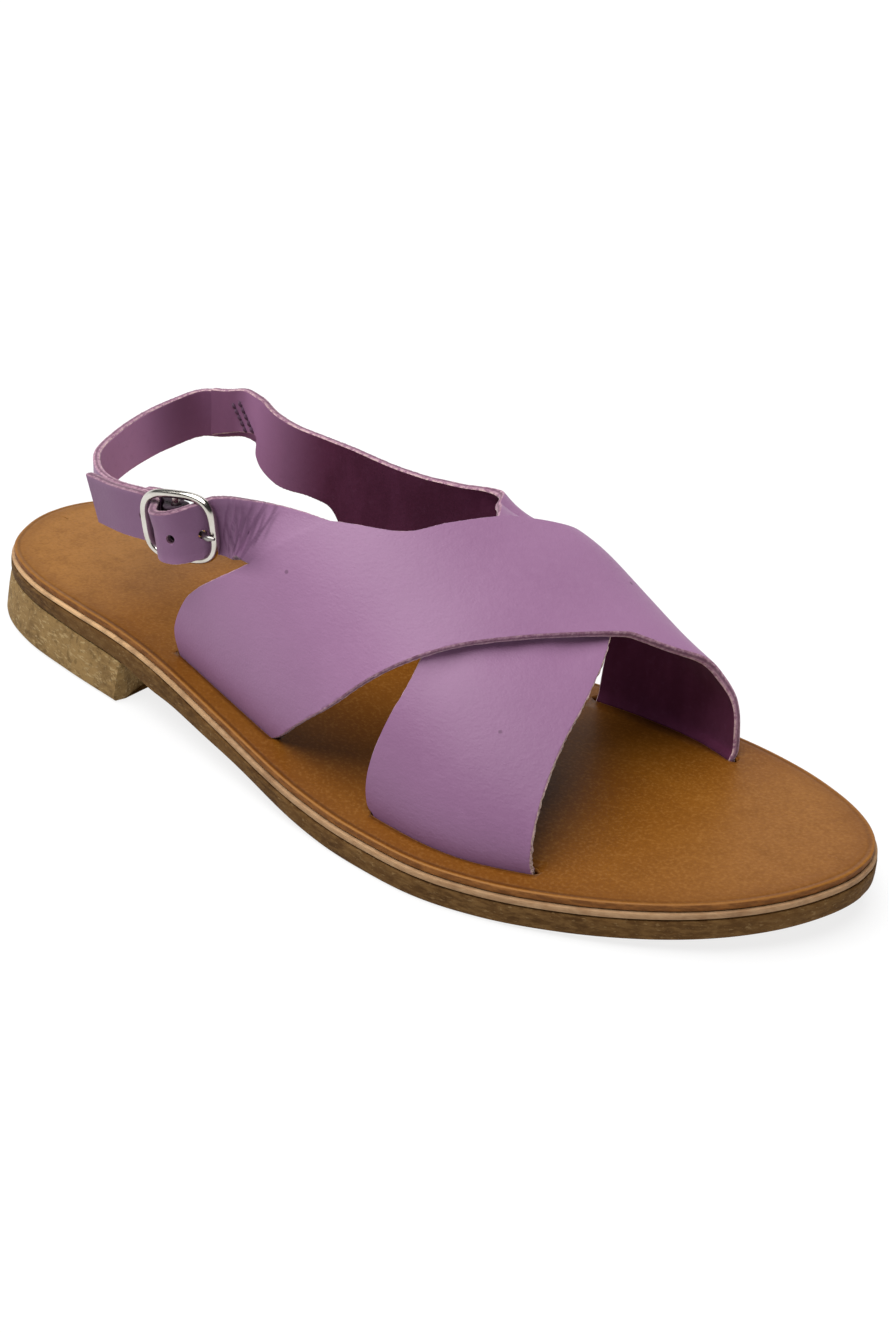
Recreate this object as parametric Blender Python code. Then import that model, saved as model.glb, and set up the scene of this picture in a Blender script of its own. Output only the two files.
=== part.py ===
"""Slingback sandal for the right foot: two wide leather straps cross over the instep,
go down through slots in a leather insole, and a buckled strap holds the heel.

The toe points along +X, the big toe's side is +Y and the floor is z = 0. Every piece is
worked out from the insole's length, its width at the ball, the instep and the heel's rise.
"""

import bpy
import numpy as np
from mathutils import Vector

MM = 0.001

# Driving sizes
LENGTH = 250 * MM          # insole, heel to toe
BALL_WIDTH = 93 * MM       # insole at the ball
INSTEP = 58 * MM           # last above the insole, at 0.42 of its length
HEEL_RISE = 10.7 * MM      # seat of the heel above the forefoot
TOE_SPRING = 6.2 * MM      # tip of the toe above the forefoot
GAP = 0.3 * MM             # clearance between neighbouring pieces

# Thickness of each layer
INSOLE = 1.6 * MM
MIDSOLE = 1.4 * MM         # under the ball
OUTSOLE = 4.6 * MM         # under the ball
STRAP = 2.0 * MM
HEEL_STRAP = 1.8 * MM

# Sole: where its profile bends, and how far each layer stands out from the insole's edge
WAIST_FROM = 0.228 * LENGTH
WAIST_TO = 0.62 * LENGTH
SPRING_FROM = 0.72 * LENGTH
MIDSOLE_LEDGE = 0.7 * MM
OUTSOLE_LEDGE = 1.0 * MM
MIDSOLE_THINNING = 0.4 * MM  # from the ball to the heel
OUTSOLE_THINNING = 0.8 * MM
HEEL_FLARE = 3.0 * MM
HEEL_BREAST = 0.281 * LENGTH
SOLE_STATIONS = 40
SOLE_END = 0.012           # the outline's rounded ends close with a short straight edge

# Insole outline: along is a part of LENGTH, lateral and medial are parts of BALL_WIDTH
SOLE_ROWS = np.array([
    # along, lateral, medial
    (0.000, 0.032, 0.032),
    (0.012, -0.098, 0.161),
    (0.040, -0.209, 0.242),
    (0.120, -0.315, 0.324),
    (0.200, -0.351, 0.340),
    (0.320, -0.387, 0.312),
    (0.440, -0.444, 0.298),
    (0.560, -0.505, 0.390),
    (0.640, -0.528, 0.460),
    (0.700, -0.527, 0.481),
    (0.760, -0.490, 0.481),
    (0.820, -0.426, 0.467),
    (0.880, -0.340, 0.423),
    (0.928, -0.247, 0.358),
    (0.964, -0.146, 0.284),
    (0.988, -0.040, 0.204),
    (1.000, 0.090, 0.090),
])

# Sections of the last above the insole: along is a part of LENGTH, height a part of INSTEP,
# and the foot of each side, the crest and the swell of each side are parts of BALL_WIDTH
LAST_ROWS = np.array([
    # along, lateral, crest, medial, height, lateral swell, medial swell
    (0.18, -0.247, 0.00, 0.215, 1.380, 0.011, 0.054),
    (0.30, -0.271, 0.04, 0.215, 1.240, 0.022, 0.059),
    (0.42, -0.323, 0.09, 0.231, 1.000, 0.027, 0.065),
    (0.54, -0.378, 0.15, 0.285, 0.885, 0.013, 0.060),
    (0.64, -0.430, 0.19, 0.352, 0.700, 0.000, 0.062),
    (0.72, -0.426, 0.19, 0.378, 0.500, 0.000, 0.054),
    (0.78, -0.372, 0.18, 0.366, 0.365, 0.000, 0.044),
    (0.84, -0.305, 0.16, 0.305, 0.250, 0.005, 0.030),
])
LATERAL_SQUARENESS = 0.1
MEDIAL_SQUARENESS = 0.5

# Straps: each row is a fold line from the rear edge to the front edge. Along is a part of
# LENGTH and turn is in degrees round the last, from the lateral foot (0) to the medial (180).
UNDER_LIFT = 1.0 * MM      # middle of the lower strap above the last
OVER_LIFT = 2.5 * MM       # middle of the upper strap, pressed a little into the lower one
UNDER_SWELLS = np.array([
    # along, turn, reach along, reach in turn, height in mm
    (0.572, 117.0, 0.035, 14.0, -3.6),
    (0.532, 137.0, 0.022, 8.0, 2.2),
])
OVER_SWELLS = np.array([
    # along, turn, reach along, reach in turn, height in mm
    (0.640, 122.0, 0.040, 20.0, 0.8),
    (0.785, 138.0, 0.055, 16.0, -1.5),
    (0.825, 142.0, 0.035, 18.0, 2.8),
    (0.735, 95.0, 0.040, 26.0, 0.8),
    (0.785, 124.0, 0.035, 16.0, 1.4),
])

OVER_TRUNK = np.array([
    # rear along, rear turn, front along, front turn
    (0.486, 54.8, 0.572, 22.6),
    (0.540, 63.6, 0.610, 38.4),
    (0.562, 74.8, 0.6365, 49.3),
    (0.581, 87.6, 0.670, 63.4),
    (0.600, 104.2, 0.710, 83.3),
    (0.615, 116.0, 0.754, 107.0),
    (0.632, 131.0, 0.787, 134.0),
    (0.660, 152.0, 0.808, 158.0),
    (0.664, 180.0, 0.817, 180.0),
])
OVER_FOOT = np.array([
    # rear along, rear turn, front along, front turn
    (0.426, 32.0, 0.572, 22.6),
    (0.413, 28.0, 0.562, 19.0),
    (0.396, 23.6, 0.551, 15.6),
    (0.368, 16.6, 0.538, 12.0),
    (0.353, 12.1, 0.525, 8.5),
    (0.340, 6.5, 0.511, 4.6),
    (0.338, 3.4, 0.501, 2.0),
    (0.345, 0.0, 0.491, 0.0),
])
UNDER_TRUNK = np.array([
    # rear along, rear turn, front along, front turn
    (0.462, 144.0, 0.552, 153.0),
    (0.509, 138.6, 0.592, 138.0),
    (0.535, 135.2, 0.632, 122.0),
    (0.549, 128.0, 0.668, 106.0),
    (0.562, 110.0, 0.700, 93.0),
    (0.579, 88.5, 0.724, 81.0),
    (0.598, 68.0, 0.742, 66.0),
    (0.615, 52.0, 0.753, 51.0),
    (0.624, 36.0, 0.763, 36.0),
    (0.621, 22.6, 0.770, 24.0),
    (0.618, 10.0, 0.776, 11.0),
    (0.622, 2.5, 0.779, 3.0),
    (0.631, 0.0, 0.781, 0.0),
])
UNDER_FOOT = np.array([
    # rear along, rear turn, front along, front turn
    (0.374, 171.0, 0.552, 153.0),
    (0.352, 174.5, 0.524, 163.0),
    (0.334, 177.5, 0.500, 172.0),
    (0.328, 180.0, 0.476, 180.0),
])
UNDER_EAR = np.array([
    # top along, top turn, bottom along, bottom turn
    (0.462, 144.0, 0.374, 171.0),
    (0.420, 147.7, 0.364, 168.2),
    (0.378, 151.2, 0.348, 166.0),
    (0.340, 154.3, 0.322, 166.5),
    (0.302, 156.5, 0.282, 167.9),
    (0.271, 156.8, 0.256, 167.1),
    (0.252, 155.8, 0.244, 165.2),
    (0.244, 155.6, 0.243, 162.2),
    (0.225, 155.6, 0.222, 162.6),
    (0.200, 157.2, 0.198, 164.0),
    (0.178, 158.3, 0.178, 165.2),
])
EAR_PART = 0.42            # part of the trunk's width that runs on into the ear
FORK_FADE = 0.4            # part of the trunk's length over which its rows straighten
TRUNK_ROWS = 34
FOOT_ROWS = 15
EAR_COLUMNS = 5
FOOT_COLUMNS = 7

# Buckle: middle of the frame, its turns in degrees, and its sizes
BUCKLE_PLACE = np.array([86.5, -30.2, 51.2]) * MM
BUCKLE_TILT = 8.5          # front end up
BUCKLE_YAW = -8.0          # front end towards the foot
BUCKLE_POWER = 3.4         # the wire's path is a superellipse of this power
BAR_REACH = 10.1 * MM      # front and rear bars from the middle, at the wire's centre
TOP_REACH = 8.6 * MM
TOP_DROP = 0.7 * MM        # the frame hangs this much lower than the ear's middle
WIRE_POINTS = 40
WIRE_WIDTH = 2.0 * MM
WIRE_DEPTH = 2.4 * MM
BAR_RADIUS = 0.9 * MM
PRONG_RADIUS = 0.7 * MM

# Ear through the buckle: it dips behind both side bars and swells out over the centre bar
EAR_BULGE = 7.4 * MM
EAR_REACH = 9.3 * MM       # the swell ends this far from the centre bar
EAR_FULLNESS = 3           # power that flattens the swell's top
EAR_OUT = -(WIRE_DEPTH / 2 + GAP + STRAP / 2)
OVER_EAR_ROOT = np.array([
    # top along, top turn, bottom along, bottom turn
    (0.486, 54.8, 0.426, 32.0),
    (0.446, 51.4, 0.418, 32.1),
])
OVER_EAR = np.array([
    # forward, up and out from the ear's plane in the buckle's frame, in mm: top edge, bottom edge
    (15.5, 6.3, -2.5, 14.5, -7.2, 0.3),
    (9.6, 5.3, 0.0, 9.9, -6.6, 0.0),
    (6.0, 5.0, 0.0, 6.0, -7.0, 0.0),
    (0.0, 4.6, 0.0, 0.0, -7.4, 0.0),
    (-6.0, 4.9, 0.0, -6.0, -6.6, 0.0),
    (-8.6, 5.0, 0.0, -8.6, -6.2, 0.0),
    (-13.0, 5.9, -0.3, -13.0, -5.8, -0.3),
    (-22.0, 6.2, -2.0, -21.5, -5.6, -2.0),
    (-34.2, 6.6, -6.3, -32.3, -5.4, -6.0),
])
EAR_ROWS = 44
HOLE_RADIUS = 1.15 * MM
HOLES = np.array([
    # forward and up in the buckle's frame, in mm; the prong is in the first
    (6.3, -1.3),
    (1.4, -1.3),
    (-4.6, -0.6),
    (-12.6, 0.2),
])

# Heel strap: on the medial ear, free round the heel, then folded round the centre bar
HEEL_STRAP_LAP = np.array([
    # along, top turn, bottom turn
    (0.266, 157.8, 165.0),
    (0.222, 156.6, 163.8),
    (0.182, 158.6, 165.6),
])
HEEL_STRAP_LOOP = np.array([
    # x, y, bottom z, top z, in mm
    (39.2, 23.4, 46.9, 59.6),
    (35.0, 16.5, 44.6, 57.3),
    (33.7, 6.5, 42.6, 55.2),
    (35.4, -4.0, 41.0, 53.4),
    (40.0, -14.0, 40.0, 52.4),
    (48.0, -21.0, 40.0, 52.3),
])
HEEL_STRAP_FOLD = np.array([
    # forward and out in the buckle's frame, in mm
    (-24.0, -7.6),
    (-15.0, -5.4),
    (-9.3, -4.7),
    (-4.4, -2.5),
])
HEEL_STRAP_RETURN = np.array([
    # forward and out in the buckle's frame, in mm
    (-4.4, -5.4),
    (-9.3, -7.2),
    (-15.0, -7.9),
])
HEEL_STRAP_HALF = 5.8 * MM  # half its width in the buckle
HEEL_STRAP_ROWS = 110
PRONG_RISE = np.array([
    # forward of the front bar and out, in mm
    (-2.4, 0.75),
    (-1.4, 1.85),
    (0.0, 2.25),
    (1.6, 2.2),
])
PRONG_HOOK = (60, 270)      # degrees round the centre bar, from its front to its inside
PRONG_DIP = (0.55, -0.75)   # low point before the hole: part of the hole's place, of the hook's radius
PRONG_TIP = 0.55            # part of the prong's thickness at its tip
PRONG_ROWS = 36
SLOT_HALF = 1.3 * MM        # half the height of the prong's slot in the fold
SLOT_CORNERS = np.array([
    # forward and out in the buckle's frame, in mm: the slot's box round the centre bar
    (-3.6, -4.2),
    (4.2, -4.2),
    (4.2, 3.6),
    (-3.6, 3.6),
])

# Finishes: colour, roughness, metallic
FINISHES = {
    "heel": ((0.27, 0.20, 0.085), 0.85, 0.0),
    "outsole": ((0.09, 0.058, 0.03), 0.8, 0.0),
    "midsole": ((0.63, 0.39, 0.2), 0.8, 0.0),
    "insole": ((0.38, 0.17, 0.05), 0.45, 0.0),
    "upper": ((0.43, 0.23, 0.4), 0.5, 0.0),
    "heel_strap": ((0.43, 0.23, 0.4), 0.5, 0.0),
    "buckle_frame": ((0.72, 0.7, 0.66), 0.2, 1.0),
    "buckle_prong": ((0.72, 0.7, 0.66), 0.2, 1.0),
}


def smooth(at, stations, values):
    """Cubic curve through rows of values, each row's slope taken from its neighbours."""
    at = np.asarray(at, float)
    stations = np.asarray(stations, float)
    slopes = np.gradient(values, stations, axis=0)
    row = np.clip(np.searchsorted(stations, at) - 1, 0, len(stations) - 2)
    step = (stations[row + 1] - stations[row])[..., None]
    t = (at - stations[row])[..., None] / step
    rise = t * t * (3 - 2 * t)
    return ((1 - rise) * values[row] + rise * values[row + 1]
            + t * (1 - t) * step * ((1 - t) * slopes[row] - t * slopes[row + 1]))


def through(rows, count):
    """Evenly sampled smooth curve through a table's rows."""
    at = np.linspace(0, len(rows) - 1, count)
    curve = smooth(at, np.arange(len(rows)), rows.reshape(len(rows), -1))
    return curve.reshape(count, *rows.shape[1:])


def waist(x):
    """Eased step from 0 under the ball to 1 under the heel."""
    rise = np.clip((WAIST_TO - x) / (WAIST_TO - WAIST_FROM), 0, 1)
    return rise * rise * (3 - 2 * rise)


def seat(x):
    """Height of the insole's top: level forefoot, rise through the waist, toe spring."""
    forefoot = INSOLE + MIDSOLE + OUTSOLE + 2 * GAP
    spring = np.clip((x - SPRING_FROM) / (LENGTH - SPRING_FROM), 0, None)
    return forefoot + HEEL_RISE * waist(x) + TOE_SPRING * spring * spring


def midsole_wall(x):
    """Thickness of the midsole, which thins towards the heel."""
    return MIDSOLE - MIDSOLE_THINNING * waist(x)


def outsole_wall(x):
    """Thickness of the outsole, which thins towards the heel."""
    return OUTSOLE - OUTSOLE_THINNING * waist(x)


def unit(vectors):
    return vectors / np.linalg.norm(vectors, axis=-1, keepdims=True)


# Buckle's frame: forward along the strap, up across it, out away from the foot
def buckle_axes():
    tilt, yaw = np.radians((BUCKLE_TILT, BUCKLE_YAW))
    forward = np.array([np.cos(tilt) * np.cos(yaw), -np.cos(tilt) * np.sin(yaw), np.sin(tilt)])
    out = unit(np.cross(forward, (0.0, 0.0, 1.0)))
    return forward, np.cross(out, forward), out


FORWARD, UP, OUT = buckle_axes()


def in_buckle(forward, up, out):
    """Points given along the buckle's own axes, in world place."""
    forward, up, out = np.broadcast_arrays(forward, up, out)
    return BUCKLE_PLACE + forward[..., None] * FORWARD + up[..., None] * UP + out[..., None] * OUT


def last_point(along, turn):
    """Point of the last: an arch over the insole, swollen and squared on each side."""
    along, turn = np.broadcast_arrays(np.asarray(along, float), np.radians(turn))
    rows = smooth(along, LAST_ROWS[:, 0], LAST_ROWS[:, 1:])
    lateral, crest, medial, height, lateral_swell, medial_swell = np.moveaxis(rows, -1, 0)
    outside = np.cos(turn) > 0
    half = np.where(outside, crest - lateral, medial - crest)
    swell = np.where(outside, lateral_swell, medial_swell)
    square = np.where(outside, LATERAL_SQUARENESS, MEDIAL_SQUARENESS)
    x = along * LENGTH
    y = BALL_WIDTH * (crest - half * np.cos(turn) - swell * np.sin(2 * turn))
    z = seat(x) + INSTEP * height * np.sin(turn) * (1 + square * np.cos(turn) ** 2)
    return np.stack((x, y, z), axis=-1)


def over_last(along, turn, lift, swells=()):
    """Point at a height above the last, with bell-shaped swells added to the height."""
    d_along, d_turn = 1e-4, 0.02
    across = last_point(along + d_along, turn) - last_point(along - d_along, turn)
    around = last_point(along, turn + d_turn) - last_point(along, turn - d_turn)
    for at, angle, reach, spread, height in swells:
        lift = lift + height * MM * np.exp(-((along - at) / reach) ** 2 - ((turn - angle) / spread) ** 2)
    return last_point(along, turn) + np.asarray(lift)[..., None] * unit(np.cross(across, around))


def finish(name):
    colour, roughness, metallic = FINISHES[name]
    material = bpy.data.materials.new(name)
    material.use_nodes = True
    shader = material.node_tree.nodes["Principled BSDF"]
    shader.inputs["Base Color"].default_value = (*colour, 1.0)
    shader.inputs["Roughness"].default_value = roughness
    shader.inputs["Metallic"].default_value = metallic
    return material


def add_solid(name, points, faces):
    mesh = bpy.data.meshes.new(name)
    corners = [tuple(int(i) for i in face) for face in faces]
    mesh.from_pydata(np.asarray(points).tolist(), [], corners)
    mesh.update()
    piece = bpy.data.objects.new(name, mesh)
    bpy.context.scene.collection.objects.link(piece)
    if name in FINISHES:
        mesh.materials.append(finish(name))
    else:
        piece.hide_render = True
        piece.display_type = "WIRE"
    piece.parent = shoe
    return piece


def cut(piece, tool, operation="DIFFERENCE"):
    modifier = piece.modifiers.new(tool.name, "BOOLEAN")
    modifier.operation = operation
    modifier.object = tool
    modifier.solver = "EXACT"


# Sole
def sole_outline(margin, stop=1 - SOLE_END):
    """Closed outline, lateral side from heel to toe and back along the medial side, moved out."""
    station = np.arccos(1 - 2 * SOLE_ROWS[:, 0]) / np.pi
    t = np.linspace(SOLE_END, stop, SOLE_STATIONS)
    x = LENGTH * (1 - np.cos(np.pi * t)) / 2
    sides = BALL_WIDTH * smooth(t, station, SOLE_ROWS[:, 1:])
    loop = np.concatenate((np.stack((x, sides[:, 0]), 1), np.stack((x, sides[:, 1]), 1)[::-1]))
    tangent = unit(np.roll(loop, -1, 0) - np.roll(loop, 1, 0))
    return loop + margin * np.stack((tangent[:, 1], -tangent[:, 0]), 1)


def slab(name, low_loop, low_height, top_loop, top_height):
    """Solid between two outlines, each at its own height, closed by strips across the shoe."""
    count = len(top_loop)
    low = np.column_stack((low_loop, low_height))
    top = np.column_stack((top_loop, top_height))
    side = [(i, (i + 1) % count, count + (i + 1) % count, count + i) for i in range(count)]
    strips = [(i, i + 1, count - 2 - i, count - 1 - i) for i in range(count // 2 - 1)]
    floor = [tuple(reversed(strip)) for strip in strips]
    cover = [tuple(count + i for i in strip) for strip in strips]
    return add_solid(name, np.concatenate((low, top)), side + floor + cover)


def layer(name, margin, top, thickness):
    """Layer of the sole: its top and its thickness are functions of the place along the shoe."""
    loop = sole_outline(margin)
    height = top(loop[:, 0])
    return slab(name, loop, height - thickness(loop[:, 0]), loop, height)


def midsole_top(x):
    return seat(x) - INSOLE - GAP


def outsole_top(x):
    return midsole_top(x) - midsole_wall(x) - GAP


def heel_block():
    stop = np.arccos(1 - 2 * HEEL_BREAST / LENGTH) / np.pi
    foot = sole_outline(HEEL_FLARE, stop)
    head = sole_outline(OUTSOLE_LEDGE, stop)
    foot[:, 0] = np.minimum(foot[:, 0], HEEL_BREAST)
    head[:, 0] = np.minimum(head[:, 0], HEEL_BREAST)
    under = outsole_top(head[:, 0]) - outsole_wall(head[:, 0]) - GAP
    return slab("heel", foot, np.zeros(len(foot)), head, under)


def slot_tool(name, along_from, along_to, turn, lift):
    """Upright cutter round the foot of a strap, a gap wider than the strap all round."""
    margin = GAP / LENGTH
    along = np.linspace(along_from - margin, along_to + margin, 12)
    half = STRAP / 2 + GAP
    sides = [over_last(along, np.full(12, turn), lift + shift)[:, :2] for shift in (half, -half)]
    loop = np.concatenate((sides[0], sides[1][::-1]))
    if turn > 90:
        loop = loop[::-1]
    height = np.full(len(loop), 2 * HEEL_RISE)
    return slab(name, loop, -height, loop, height + 2 * HEEL_RISE)


# Leather sheets
def sheet_grid(rows, count, columns):
    """Rows of fold lines resampled, each split across its width by the columns' parts."""
    folds = through(rows, count)
    rear = folds[:, None, :2]
    front = folds[:, None, 2:]
    return rear + columns[None, :, None] * (front - rear)


def forked_sheet(trunk, foot, ear_grid, lift, swells):
    """Trunk of a strap that forks into a foot and an ear, as grids of points over the last."""
    ear_columns = np.linspace(0, EAR_PART, EAR_COLUMNS + 1)
    foot_columns = np.linspace(EAR_PART, 1, FOOT_COLUMNS + 1)
    columns = np.concatenate((ear_columns, foot_columns[1:]))
    trunk_grid = sheet_grid(trunk, TRUNK_ROWS, columns)
    foot_grid = sheet_grid(foot, FOOT_ROWS, np.linspace(0, 1, FOOT_COLUMNS + 1))
    fork, rear, front = foot[0, :2], trunk[0, :2], trunk[0, 2:]
    ear_root = rear + (ear_columns / EAR_PART)[:, None] * (fork - rear)
    root = np.concatenate((ear_root, foot_grid[0, 1:]))
    fade = np.clip(1 - np.linspace(0, 1, TRUNK_ROWS) / FORK_FADE, 0, 1) ** 2
    trunk_grid += fade[:, None, None] * (root - trunk_grid[0])[None]
    trunk_grid, foot_grid = [
        sunk(over_last(grid[..., 0], grid[..., 1], lift, swells)) for grid in (trunk_grid, foot_grid)
    ]
    return [trunk_grid, foot_grid, ear_grid(trunk_grid[0, :EAR_COLUMNS + 1])]


def sunk(grid):
    """A strap's grid with one more row, its end taken down through the insole."""
    end = grid[-1].copy()
    end[:, 2] = seat(end[:, 0]) - INSOLE
    return np.concatenate((grid, end[None]))


def under_ear(root):
    """Medial ear: it stays on the last, and narrows to the tab under the heel strap."""
    grid = sheet_grid(UNDER_EAR, EAR_ROWS, np.linspace(0, 1, EAR_COLUMNS + 1))
    points = over_last(grid[..., 0], grid[..., 1], UNDER_LIFT, UNDER_SWELLS)
    points[0] = root
    return points


def ear_out(forward):
    """How far the ear's middle stands out of the buckle's plane at a place along the strap."""
    reach = np.clip(np.abs(forward) / EAR_REACH, 0, 1)
    return EAR_OUT + EAR_BULGE * (1 - np.sin(np.pi / 2 * reach) ** EAR_FULLNESS)


def over_ear(root):
    """Lateral ear: from the trunk's last shape to a flat tongue, woven through the buckle."""
    start = np.stack([
        over_last(OVER_EAR_ROOT[:, i], OVER_EAR_ROOT[:, i + 1], OVER_LIFT, OVER_SWELLS) for i in (0, 2)
    ], 1)
    flat = OVER_EAR * MM
    tongue = np.stack([
        in_buckle(flat[:, i], flat[:, i + 1], EAR_OUT + flat[:, i + 2]) for i in (0, 3)
    ], 1)
    rows = np.concatenate((start, tongue))
    edges = through(rows, EAR_ROWS)
    part = np.linspace(0, 1, EAR_COLUMNS + 1)[None, :, None]
    points = edges[:, None, 0] * (1 - part) + edges[:, None, 1] * part
    fade = np.clip(1 - np.linspace(0, len(rows) - 1, EAR_ROWS) / len(start), 0, 1) ** 2
    points += fade[:, None, None] * (root - points[0])[None]
    forward = (points - BUCKLE_PLACE) @ FORWARD
    return points + (ear_out(forward) - EAR_OUT)[..., None] * OUT


def leather(name, grids, thickness):
    """One closed solid: the grids' merged middle surface, moved out and in by half its wall."""
    points = np.concatenate([grid.reshape(-1, 3) for grid in grids])
    quads = []
    start = 0
    for grid in grids:
        index = start + np.arange(grid.shape[0] * grid.shape[1]).reshape(grid.shape[:2])
        cells = (index[:-1, :-1], index[:-1, 1:], index[1:, 1:], index[1:, :-1])
        quads.append(np.stack(cells, -1).reshape(-1, 4))
        start = index.max() + 1
    merged, index = np.unique(np.round(points, 7), axis=0, return_inverse=True)
    quads = index.reshape(-1)[np.concatenate(quads)]
    corners = merged[quads]
    facing = np.cross(corners[:, 2] - corners[:, 0], corners[:, 3] - corners[:, 1])
    normal = np.zeros_like(merged)
    np.add.at(normal, quads, facing[:, None])
    wall = unit(normal) * thickness / 2
    edges = [(a, b) for quad in quads.tolist() for a, b in zip(quad, quad[1:] + quad[:1])]
    rim = set(edges) - {(b, a) for a, b in edges}
    count = len(merged)
    faces = quads.tolist()
    faces += [[count + i for i in reversed(quad)] for quad in quads.tolist()]
    faces += [(b, a, count + a, count + b) for a, b in sorted(rim)]
    return add_solid(name, np.concatenate((merged + wall, merged - wall)), faces)


def upper():
    """Both straps as one wall, with the punched holes of the lateral ear."""
    over = forked_sheet(OVER_TRUNK, OVER_FOOT, over_ear, OVER_LIFT, OVER_SWELLS)
    over[1:] = [grid[:, ::-1] for grid in over[1:]]
    under = forked_sheet(UNDER_TRUNK, UNDER_FOOT, under_ear, UNDER_LIFT, UNDER_SWELLS)
    under[0] = under[0][:, ::-1]
    piece = leather("upper", over, STRAP)
    cut(piece, leather("under_strap", under, STRAP), "UNION")
    for number, (forward, up) in enumerate(HOLES * MM):
        cut(piece, punch(f"hole_{number}", forward, up))
    return piece


def tube(name, path, side, width, depth, closed=False, sides=10):
    """Oval bar along a path: side points across it, width and depth are its half sizes."""
    tangent = np.roll(path, -1, 0) - np.roll(path, 1, 0) if closed else np.gradient(path, axis=0)
    other = np.cross(unit(tangent), side)
    angle = (np.arange(sides) * 2 * np.pi / sides)[None, :, None]
    rings = path[:, None] + np.cos(angle) * (side * width)[:, None]
    rings = rings + np.sin(angle) * (other * depth)[:, None]
    index = np.arange(len(path) * sides).reshape(len(path), sides)
    here = index if closed else index[:-1]
    following = np.roll(index, -1, 0) if closed else index[1:]
    cells = (here, np.roll(here, -1, 1), np.roll(following, -1, 1), following)
    faces = np.stack(cells, -1).reshape(-1, 4).tolist()
    if not closed:
        faces += [index[0, ::-1].tolist(), index[-1].tolist()]
    return add_solid(name, rings.reshape(-1, 3), faces)


def bar(name, start, end, radius):
    path = np.stack((start, end))
    side = unit(np.cross(end - start, FORWARD if abs(unit(end - start) @ FORWARD) < 0.8 else UP))
    return tube(name, path, np.stack((side, side)), radius, radius)


def punch(name, forward, up):
    """Cutter through the ear, square to its surface at that place."""
    step = 0.1 * MM
    slope = (ear_out(forward + step) - ear_out(forward - step)) / (2 * step)
    middle = in_buckle(forward, up, ear_out(forward))
    direction = unit(OUT - slope * FORWARD)
    return bar(name, middle - 2 * STRAP * direction, middle + 2 * STRAP * direction, HOLE_RADIUS)


# Heel strap
def heel_strap():
    """Band lapped on the medial ear, free round the heel and folded round the centre bar."""
    lift = UNDER_LIFT + STRAP / 2 + GAP + HEEL_STRAP / 2
    along = HEEL_STRAP_LAP[:, 0]
    lap = np.stack([over_last(along, HEEL_STRAP_LAP[:, i], lift) for i in (1, 2)], 1)
    loop = np.stack([HEEL_STRAP_LOOP[:, (0, 1, i)] * MM for i in (3, 2)], 1)
    radius = BAR_RADIUS + GAP + HEEL_STRAP / 2
    turn = np.radians((135, 90, 45, 0, -45, -90))
    wrap = radius * np.stack((np.cos(turn), np.sin(turn)), 1)
    fold = np.concatenate((HEEL_STRAP_FOLD * MM, wrap, HEEL_STRAP_RETURN * MM))
    halves = (HEEL_STRAP_HALF, -HEEL_STRAP_HALF)
    ends = np.stack([in_buckle(fold[:, 0], half, fold[:, 1]) for half in halves], 1)
    rows = np.concatenate((lap, loop, ends))
    middle = rows.mean(1)
    station = np.concatenate(([0], np.cumsum(np.linalg.norm(np.diff(middle, axis=0), axis=1))))
    even = np.linspace(0, station[-1], HEEL_STRAP_ROWS)
    edges = smooth(even, station, rows.reshape(-1, 6)).reshape(-1, 2, 3)
    part = np.linspace(0, 1, 3)[None, :, None]
    grid = edges[:, None, 0] * (1 - part) + edges[:, None, 1] * part
    piece = leather("heel_strap", [grid], HEEL_STRAP)
    slot = SLOT_CORNERS * MM
    sides = HOLES[0, 1] * MM + np.array([-SLOT_HALF, SLOT_HALF])
    corners = np.concatenate([in_buckle(slot[:, 0], up, slot[:, 1]) for up in sides])
    box = [(0, 1, 2, 3), (7, 6, 5, 4), (0, 4, 5, 1), (1, 5, 6, 2), (2, 6, 7, 3), (3, 7, 4, 0)]
    cut(piece, add_solid("prong_slot", corners, box))
    return piece


# Buckle
def buckle_frame():
    """Bowed frame of oval wire with a round centre bar let into its long sides."""
    angle = (np.arange(WIRE_POINTS) + 0.5) * 2 * np.pi / WIRE_POINTS
    bow = np.abs(np.stack((np.cos(angle), np.sin(angle)))) ** (2 / BUCKLE_POWER)
    forward = BAR_REACH * np.sign(np.cos(angle)) * bow[0]
    up = TOP_REACH * np.sign(np.sin(angle)) * bow[1] - TOP_DROP
    path = in_buckle(forward, up, 0.0)
    outward = unit(np.cross(np.roll(path, -1, 0) - np.roll(path, 1, 0), OUT))
    frame = tube("buckle_frame", path, outward, WIRE_WIDTH / 2, WIRE_DEPTH / 2, True)
    low, top = [in_buckle(0.0, end - TOP_DROP, 0.0) for end in (-TOP_REACH, TOP_REACH)]
    cut(frame, bar("centre_bar", low, top, BAR_RADIUS), "UNION")
    return frame


def buckle_prong():
    """Prong hooked round the centre bar, through the ear's hole, its tip on the front bar."""
    radius = BAR_RADIUS + GAP + PRONG_RADIUS
    turn = np.radians(np.linspace(*PRONG_HOOK, 9))
    hook = radius * np.stack((np.cos(turn), np.sin(turn)), 1)
    hole, up = HOLES[0] * MM
    dip = (PRONG_DIP[0] * hole, PRONG_DIP[1] * radius)
    rise = np.array([BAR_REACH, 0.0]) + PRONG_RISE * MM
    path = through(np.concatenate((hook, [dip, (hole, ear_out(hole))], rise)), PRONG_ROWS)
    points = in_buckle(path[:, 0], up, path[:, 1])
    end = PRONG_ROWS - 1
    thick = PRONG_RADIUS * np.interp(np.arange(PRONG_ROWS), (0, end - 2, end), (1, 1, PRONG_TIP))[:, None]
    return tube("buckle_prong", points, np.broadcast_to(UP, points.shape), thick, thick, False, 8)


for item in list(bpy.data.objects):
    bpy.data.objects.remove(item, do_unlink=True)

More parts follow.
